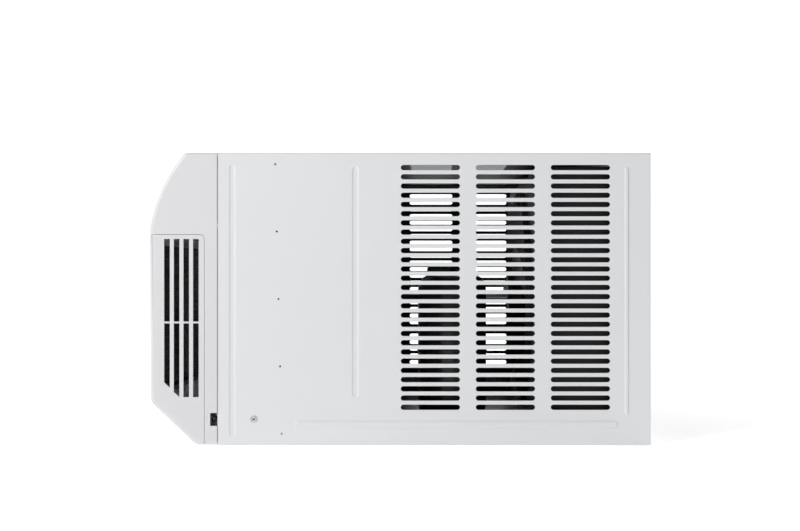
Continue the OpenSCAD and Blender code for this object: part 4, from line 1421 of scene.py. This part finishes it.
    def build(self, repeats: Repeats) -> None:
        """Builds the air path and the motor.

        Args:
            repeats: The trees that repeat.
        """
        self.motor()
        self.blower(repeats)
        self.condenser_fan(repeats)
        for node, body, slot, edge in (
                ("motor_stator", "chassis", "copper", 0.0004), ("motor_bearings", "chassis", "shaft_steel", 0.0),
                ("motor_bracket", "chassis", "zinc_steel", 0.0008), ("motor_shaft", "fan", "shaft_steel", 0.0006),
                ("motor_rotor", "fan", "shaft_steel", 0.0004), ("inlet_orifice", "chassis", "black_plastic", 0.0006),
                ("scroll_housing", "chassis", "foam", 0.0008), ("discharge_duct", "chassis", "foam", 0.0003),
                ("condenser_shroud", "chassis", "black_plastic", 0.0008)):
            Moulding(node, body, slot, edge).build()


@dataclass
class Chassis:
    """The pan, bulkhead, trough and controls that the rest stands on."""

    def build(self) -> None:
        """Builds the chassis."""
        for node, slot, edge in (("base_pan", "black_enamel", 0.0004), ("bulkhead", "zinc_steel", 0.0003),
                                 ("drain_trough", "foam", 0.0012), ("control_box", "zinc_steel", 0.0004),
                                 ("circuit_board", "board", 0.0004), ("cord_gland", "black_plastic", 0.0004)):
            Moulding(node, "chassis", slot, edge).build()


# ---- Room side ----


@dataclass
class Fascia:
    """Shell, outlet frame, controls and the parts that swing in them."""

    buttons: int = 5
    horizontal_vanes: int = 3
    vertical_vanes: int = 4

    def build(self) -> None:
        """Builds the fixed mouldings, the controls and the vanes."""
        FrontMoulding("fascia_shell", "chassis", "shell_plastic", 0.0006).build()
        Moulding("discharge_frame", "chassis", "shell_plastic", 0.0008, sharp=24.0).build()
        Moulding("control_panel", "chassis", "panel_plastic", 0.0004, sharp=24.0).build()
        Moulding("display_lens", "chassis", "lens_plastic", 0.0003, sharp=24.0).build()
        for i in range(1, self.buttons + 1):
            Moulding(f"button_{i}", f"button_{i}", "button_plastic", 0.0006, 3).build()
        for i in range(1, self.horizontal_vanes + 1):
            Moulding(f"horizontal_vane_{i}", f"horizontal_vane_{i}", "vane_plastic", 0.0, sharp=40.0).build()
        for i in range(1, self.vertical_vanes + 1):
            Moulding(f"vertical_vane_{i}", f"vertical_vane_{i}", "vane_plastic", 0.0003).build()
        for node in ("horizontal_vane_link", "vertical_vane_link"):
            Moulding(node, node, "vane_plastic", 0.0003).build()
        Moulding("vent_knob", "vent_knob", "black_plastic", 0.0005).build()
        Moulding("vent_door", "vent_door", "black_plastic", 0.0003).build()


@dataclass
class IntakeGrille:
    """The hinged lower front with its slats, and the filter behind it."""

    left: float = -0.2998
    right: float = 0.2998
    low: float = 0.0762
    high: float = 0.3078
    front: float = -0.3838
    depth: float = 0.003
    slats: int = 48
    slat_pitch: float = 0.00463
    slat_depth: float = 0.0048
    bars: int = 5
    bar_pitch: float = 0.148

    def louvres(self, repeats: Repeats) -> bpy.types.Object:
        """The insert: a border with slats that rise inwards, and upright bars.

        Args:
            repeats: The trees that repeat.

        Returns:
            The insert.
        """
        y0, y1 = self.front, self.front + self.depth
        slat, rise, thick, z = Form(), self.slat_depth, 0.0011, self.low + 0.0035
        section = [(y0, z), (y0 + 0.0004, z - 0.0004), (y0 + 0.0009, z - 0.0002), (y0 + rise, z + rise),
                   (y0 + rise - 0.0003, z + rise + thick), (y0 + rise - 0.0009, z + rise + thick - 0.0002),
                   (y0, z + thick * 0.6)]
        slat.loft([[(x, *p) for p in section] for x in (self.left + 0.004, self.right - 0.004)])
        rows = repeats.grid(slat.piece("slat"), 1, self.slats, (0, 0, 0), (0, 0, self.slat_pitch), "black_plastic")
        bar = Form()
        bar.slab((-self.bar_pitch * 2 - 0.003, y0 + 0.0008, self.low), (-self.bar_pitch * 2 + 0.003, y1, self.high))
        uprights = repeats.grid(bar.piece("bar"), self.bars, 1, (self.bar_pitch, 0, 0), (0, 0, 0), "grille_plastic")
        border, wide = Form(), 0.006
        loops = []
        for grow, y in ((0.0, y1), (0.0, y0 + 0.0006), (-0.0006, y0), (-wide + 0.0006, y0),
                        (-wide, y0 + 0.0006), (-wide, y1)):
            loops.append([(self.left - grow, y, self.low - grow), (self.right + grow, y, self.low - grow),
                          (self.right + grow, y, self.high + grow), (self.left - grow, y, self.high + grow)])
        rings = [border.ring(loop) for loop in loops]
        for a, b in zip(rings, rings[1:] + rings[:1]):
            border.bridge(a, b)
        return dress(joined("intake_louvres", rows, uprights, own=border), "grille", "black_plastic",
                     ("grille_louvers",), 50.0)

    def mesh(self, repeats: Repeats) -> bpy.types.Object:
        """The filter's woven mesh.

        Args:
            repeats: The trees that repeat.

        Returns:
            The weave.
        """
        low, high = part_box("filter_mesh")
        middle, r, pitch = (low.y + high.y) / 2, 0.00028, 0.0040
        one, two = Form(), Form()
        one.slab((low.x, middle - r, low.z), (low.x + 2 * r, middle + r, high.z))
        two.slab((low.x, middle - r, low.z), (high.x, middle + r, low.z + 2 * r))
        columns, rows = int((high.x - low.x) / pitch), int((high.z - low.z) / pitch)
        upright = repeats.grid(one.piece("warp"), columns, 1, (pitch, 0, 0), (0, 0, 0), "filter_plastic")
        across = repeats.grid(two.piece("weft"), 1, rows, (0, 0, 0), (0, 0, pitch), "filter_plastic")
        return dress(joined("filter_weave", upright, across), "filter", "filter_plastic", ("filter_mesh",))

    def build(self, repeats: Repeats) -> None:
        """Builds the grille and the filter.

        Args:
            repeats: The trees that repeat.
        """
        FrontMoulding("intake_grille", "grille", "grille_plastic", 0.0006).build()
        self.louvres(repeats)
        Moulding("filter_frame", "filter", "filter_frame_plastic", 0.0005).build()
        self.mesh(repeats)


# ---- Studio ----


@dataclass
class Studio:
    """Pale floor, soft light and the camera."""

    camera_at: tuple[float, float, float] = (2.010, 0.050, 0.270)
    lens: float = 49.2
    shift: Flat = (-0.0407, 0.005)

    def floor(self) -> None:
        """The floor, sweeping up behind the object."""
        form, rows = Form(), []
        profile = [(4.0, -0.0005), (-2.0, -0.0005)]
        profile += [(-2.0 - 1.0 * math.sin(math.radians(a)), -0.0005 + 1.0 * (1 - math.cos(math.radians(a))))
                    for a in range(10, 91, 10)]
        profile.append((-3.0, 4.0))
        for x, z in profile:
            rows.append(form.ring([(x, -5.0, z), (x, 5.0, z)]))
        for a, b in zip(rows, rows[1:]):
            form.bridge(a, b, closed=False)
        piece = form.piece("floor")
        shader = Shader("floor_paper")
        tone = shader.blend(shader.noise(shader.place(), 3.0), (0.88, 0.88, 0.88), (0.9, 0.9, 0.9))
        shader.set(Base_Color=tone, Roughness=0.9, Emission_Color=(1.0, 1.0, 1.0), Emission_Strength=0.42)
        piece.data.materials.append(shader.material)
        piece.data.polygons.foreach_set("use_smooth", [True] * len(piece.data.polygons))

    def light(self, name: str, at: Sequence[float], aim: Sequence[float], size: float, power: float) -> None:
        """One soft square light.

        Args:
            name: The light's name.
            at: Where it hangs.
            aim: What it points at.
            size: Its side.
            power: Its power in watts.
        """
        data = bpy.data.lights.new(name, "AREA")
        data.energy, data.size = power, size
        lamp = placed(name, data)
        lamp.location = at
        lamp.rotation_euler = (Vector(aim) - Vector(at)).to_track_quat("-Z", "Y").to_euler()

    def build(self) -> None:
        """Sets up the floor, lights, sky and camera."""
        scene = bpy.context.scene
        scene.view_settings.view_transform = "Standard"
        self.floor()
        self.light("key", (2.0, -2.1, 2.3), (0.0, 0.0, 0.2), 1.1, 72.0)
        self.light("fill", (2.6, 1.6, 0.9), (0.0, 0.0, 0.2), 2.0, 3.0)
        self.light("back", (-1.8, 1.7, 2.4), (-0.6, 0.8, 0.0), 2.2, 46.0)
        world = bpy.data.worlds.new("sky")
        world.use_nodes = True
        world.node_tree.nodes["Background"].inputs["Color"].default_value = (1.0, 1.0, 1.0, 1.0)
        world.node_tree.nodes["Background"].inputs["Strength"].default_value = 0.235
        scene.world = world
        data = bpy.data.cameras.new("camera")
        data.lens, data.sensor_width = self.lens, 36.0
        data.shift_x, data.shift_y = self.shift
        camera = placed("camera", data)
        camera.location = self.camera_at
        camera.rotation_euler = (math.pi / 2, 0.0, math.pi / 2)
        scene.camera = camera


def main() -> None:
    """Builds every sub-assembly in order."""
    logging.basicConfig(level=logging.INFO, format="%(name)s %(message)s")
    for finish in FINISHES:
        MATERIALS[finish.slot] = finish.build()
    repeats = Repeats()
    Cabinet().build(repeats)
    Chassis().build()
    Refrigeration().build(repeats)
    Airways().build(repeats)
    Fascia().build()
    IntakeGrille().build(repeats)
    Studio().build()


if __name__ == "__main__":
    main()
